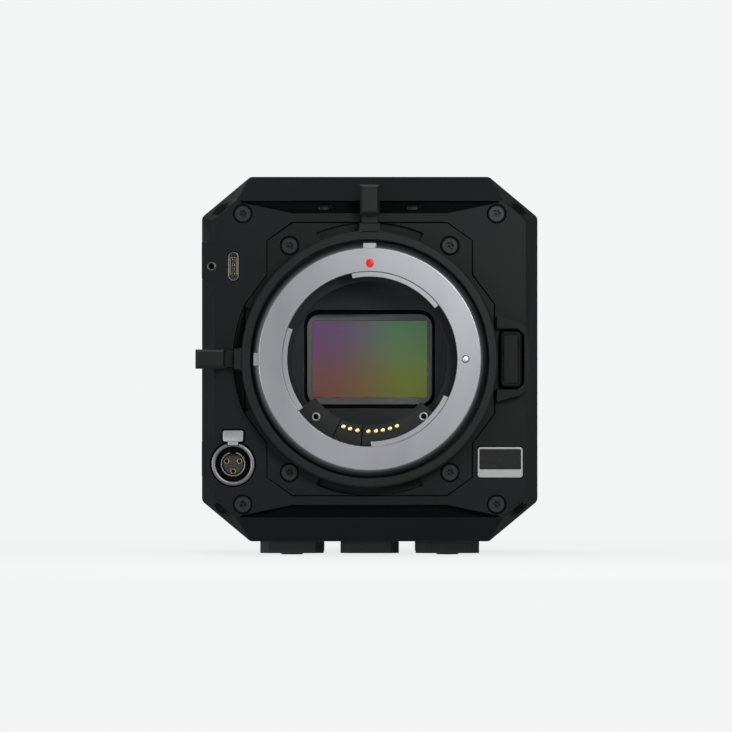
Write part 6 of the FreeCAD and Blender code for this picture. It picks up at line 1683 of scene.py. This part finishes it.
@dataclass
class Mounting:
    """The threaded inserts of the top, the side and the base, and the rubber feet."""

    quarter: float = 3.175
    large: float = 4.7625
    pitch: float = 1.27
    depth: float = 7.6
    crest: float = 0.5
    top: float = 56.5
    land: float = 60.4
    foot_level: float = -60.8
    feet: ClassVar[tuple[Pair, ...]] = ((-24.225, 28.0), (-24.225, 84.0), (24.225, 28.0), (24.225, 84.0))

    def build(self) -> None:
        """Models the inserts and the feet."""
        down, up, inward = (-math.pi / 2, 0.0, 0.0), (math.pi / 2, 0.0, 0.0), (0.0, 0.0, -math.pi / 2)
        self.inserts("top_inserts", self.quarter, [(0.0, y, self.top) for y in (36.0, 56.0, 76.0)], down)
        self.inserts("side_inserts", self.quarter, [(-52.0, 30.0, z) for z in (8.0, 28.0)], inward)
        self.inserts("base_inserts", self.quarter, [(0.0, 46.0, -self.land), (-24.225, 56.0, -self.land),
                                                    (24.225, 56.0, -self.land)], up)
        self.inserts("large_insert", self.large, [(0.0, 66.0, -self.land)], up)
        self.rubber()

    def inserts(self, name: str, radius: float, places: Sequence[Triple], turn: Triple) -> None:
        """Steel wire inserts in the mounting threads.

        Args:
            name: The piece's name.
            radius: The thread's nominal radius.
            places: The middle of each thread's mouth.
            turn: The turn from +Y to the way that the threads run in.
        """
        profile = [(radius - 0.01, 0.35), (radius - 0.01, self.depth)]
        level = self.depth
        while level - self.pitch > 0.35:
            profile += [(radius - 0.12, level - 0.1), (radius - self.crest, level - self.pitch / 2)]
            level -= self.pitch
        profile.append((radius - 0.12, 0.4))
        ring = turned("insert", profile, 48, closed=True)
        mount(spread(smooth(ring, 30), name, places, [turn] * len(places)), Finish.INSERT, "socket_metal")

    def rubber(self) -> None:
        """Four round feet with two raised rings each."""
        profile = [(3.5, 1.4), (3.5, 0.25), (3.3, 0.03), (3.1, 0.0), (2.6, 0.0), (2.45, 0.2), (2.05, 0.2),
                   (1.9, 0.0), (1.2, 0.0),
                   (1.05, 0.2), (0, 0.2)]
        foot = turned("foot", profile, 56, Axis.Z)
        whole = spread(smooth(foot, CRISP), "ringed_feet", [(x, y, self.foot_level) for x, y in self.feet])
        mount(whole, Finish.RUBBER, "rubber", "rubber_feet")


@dataclass
class Shells:
    """The cast and milled covers, whose own shapes get worn, rounded edges with painted highlights on them,
    and painted shade in the face's two recesses.
    """

    covers: ClassVar[tuple[tuple[str, str, float], ...]] = (
        ("front_cover", "face_casting", 0.11), ("rear_cover", "back_casting", 0.2), ("mount_plate",
                                                                                     "mount_casting", 0.12),
        ("battery_plate", "battery_tray", 0.2), ("side_vent", "vent_grille", 0.15), ("top_plate",
                                                                                     "top_rail", 0.1),
        ("base_plate", "base_lands", 0.05), ("side_mount_plate", "side_rail", 0.2))
    # The face's two recesses that get painted shade: their heights from the axis, and the levels of the
    # face and of their floor
    recess: Pair = (45.0, 49.2)
    face: float = 7.3
    floor: float = 10.3

    def build(self) -> None:
        """Models the covers and the door."""
        for node, name, width in self.covers:
            # The base plate takes the black lifted as painted light
            finish = Finish.LANDS if node == "base_plate" else Finish.BODY
            cover = mount(soft_copy(node, name, width), finish, "body_black", node)
            # The face's recesses get painted shade
            if node == "front_cover":
                self.paint_shade_in_recesses(cover)
        mount(soft_copy("media_door", "card_door", 0.25), Finish.BODY, "body_black", "media_door",
              body="media_door")

    def paint_shade_in_recesses(self, cover: bpy.types.Object) -> None:
        """Paints shade into the two long recesses over and under the mount, giving their faces the
        near-black finish.
        """
        low, high = self.recess
        cover.data.materials.append(Finish.HOLDER.material())
        with editing(cover) as mesh:
            choose(mesh, cover, Pick.FACES, lambda middle,
                   normal: low < abs(middle.z) < high and self.face < middle.y < self.floor)
            cover.active_material_index = 1
            bpy.ops.object.material_slot_assign()


@dataclass
class Studio:
    """The pale floor, the soft lamps and the camera."""

    floor_level: float = -60.8
    pale: Colour = (0.896, 0.913, 0.913)
    camera_distance: float = 2989.0
    camera_x: float = -1.15
    camera_z: float = -2.13
    floor_radius: float = 14.0
    lens: float = 476.0

    def build(self) -> None:
        """Sets up everything round the camera body."""
        self.floor()
        self.world()
        self.lamps()
        self.camera()

    def pale_share(self, graph: Graph) -> bpy.types.NodeSocket:
        """Whether a ray sees the background: one from the camera, or one that metal or glass sends on."""
        path = graph.node("LightPath")
        seen = graph.maths("MAXIMUM", path.outputs["Is Camera Ray"], path.outputs["Is Glossy Ray"])
        return graph.maths("MAXIMUM", seen, path.outputs["Is Transmission Ray"])

    def floor(self) -> None:
        """A wide pale floor that keeps the camera's shadow."""
        deselect()
        bpy.ops.mesh.primitive_circle_add(vertices=96, radius=self.floor_radius, fill_type="NGON",
                                          location=(0, 0, self.floor_level * MM))
        floor = bpy.context.object
        floor.name = "studio_floor"
        settle_in_place(floor)
        material = bpy.data.materials.new("pale_floor")
        material.use_nodes = True
        graph = Graph(material.node_tree)
        matt = graph.node("BsdfDiffuse", Color=self.pale)
        glow = graph.node("Emission", Color=self.pale, Strength=1.0)
        away = graph.vector("LENGTH", graph.place())
        share = graph.times(self.pale_share(graph), graph.between(away, 0.1, 0.4, 0.88, 1.0))
        mixed = graph.node("MixShader", share, matt.outputs[0], glow.outputs[0])
        graph.node("OutputMaterial", Surface=mixed.outputs[0])
        floor.data.materials.append(material)

    def world(self) -> None:
        """A pale surround where it is seen, and dim even light elsewhere."""
        world = bpy.data.worlds.new("studio")
        bpy.context.scene.world = world
        world.use_nodes = True
        graph = Graph(world.node_tree)
        seen = graph.node("Background", Color=self.pale, Strength=1.0)
        dim = graph.node("Background", Color=(0.75, 0.78, 0.8), Strength=0.25)
        mixed = graph.node("MixShader", self.pale_share(graph), dim.outputs[0], seen.outputs[0])
        graph.node("OutputWorld", Surface=mixed.outputs[0])

    def lamp(self, name: str, place: Triple, size: Pair, power: float) -> None:
        """A soft box that faces the camera body.

        Args:
            name: The lamp's name.
            place: Where it stands, in millimetres.
            size: Its width and height in metres.
            power: Its power in watts.
        """
        light = bpy.data.lights.new(name, "AREA")
        light.shape = "RECTANGLE"
        light.size, light.size_y = size
        light.energy = power
        lamp = link(bpy.data.objects.new(name, light))
        lamp.location = Vector(place) * MM
        aim = Vector((0.0, 0.05, 0.0)) - lamp.location
        lamp.rotation_euler = aim.to_track_quat("-Z", "Y").to_euler()

    def lamps(self) -> None:
        """A key from the upper right, a fill from the left, a low strip, one overhead, one behind."""
        self.lamp("key", (138.0, -480.0, 130.0), (0.13, 0.13), 1.7)
        self.lamp("fill", (-1500.0, -1300.0, 500.0), (0.8, 1.0), 5.0)
        self.lamp("low", (-560.0, -640.0, -20.0), (0.5, 0.06), 3.0)
        self.lamp("over", (-100.0, 100.0, 1200.0), (0.6, 0.6), 6.0)
        self.lamp("back", (-900.0, 1700.0, 900.0), (0.9, 0.9), 14.0)

    def camera(self) -> None:
        """The view of the photograph, square to the front."""
        data = bpy.data.cameras.new("view")
        data.lens = self.lens
        data.sensor_width = 36.0
        data.clip_start, data.clip_end = 0.1, 60.0
        camera = link(bpy.data.objects.new("view", data))
        camera.location = (self.camera_x * MM, -self.camera_distance * MM, self.camera_z * MM)
        camera.rotation_euler = (math.pi / 2, 0.0, 0.0)
        bpy.context.scene.camera = camera
        bpy.context.scene.view_settings.view_transform = "Standard"


def dress_solids() -> None:
    """Gives every CAD node that stays its finish."""
    dress(Finish.LANDS, "base_plate")
    dress(Finish.BODY, "front_cover", "main_housing", "rear_cover", "mount_plate", "side_mount_plate",
          "top_plate",
          "screen_bezel", "battery_plate", "media_door", "side_vent")
    dress(Finish.RING, "locking_ring")
    dress(Finish.FLANGE, "mount_flange")
    dress(Finish.RED_DOT, "index_dot")
    dress(Finish.BUTTON, "release_button", "function_key_1", "function_key_2", "function_key_3",
          "function_key_4",
          "power_switch", "battery_latch")
    dress(Finish.RECORD, "record_button")
    dress(Finish.SCREW, "face_screws", "mount_screws", "rear_screws", "top_screws", "base_screws")
    dress(Finish.CHAMBER, "chamber_plate")
    dress(Finish.HOLDER, "filter_holder")
    dress(Finish.BAFFLE, "light_baffle")
    dress(Finish.BLOCK, "contact_block")
    dress(Finish.SOCKET_BLACK, "usb_tongues", "xlr_insert", "dc_socket", "audio_jacks", "card_reader")
    dress(Finish.PLATED, "usb_sockets", "xlr_shell", "xlr_latch", "bnc_connector", "network_socket",
          "contact_rivets")
    dress(Finish.STEEL, "lens_lock_pin", "media_door_pin")
    dress(Finish.GOLD, "contact_pins", "xlr_contacts", "battery_contacts")
    dress(Finish.ALUMINIUM, "heat_sink", "heat_spreader")
    dress(Finish.FAN, "fan_housing", "fan_rotor")
    dress(Finish.RUBBER, "rubber_feet")
    dress(Finish.BADGE, "badge_plate")
    dress(Finish.MESH, "microphones")
    dress(Finish.CERAMIC, "sensor_package")
    dress(Finish.SENSOR, "sensor_array")
    dress(Finish.FILTER, "filter_glass")
    dress(Finish.SCREEN, "screen_glass")
    dress(Finish.BOARD, "sensor_board", "main_board")


def main() -> None:
    """Builds the studio and each sub-assembly, and reports each piece."""
    logging.basicConfig(level=logging.INFO, format="%(name)s: %(message)s")
    dress_solids()
    for part in (Studio(), Shells(), LensMount(), Chamber(), LensContacts(), Fasteners(), DataSockets(),
                 AudioSocket(), FaceTrim(),
                 ScreenSide(), BackPanel(), Mounting()):
        part.build()
        log.info("%s done", type(part).__name__)
    deselect()


if __name__ == "__main__":
    main()
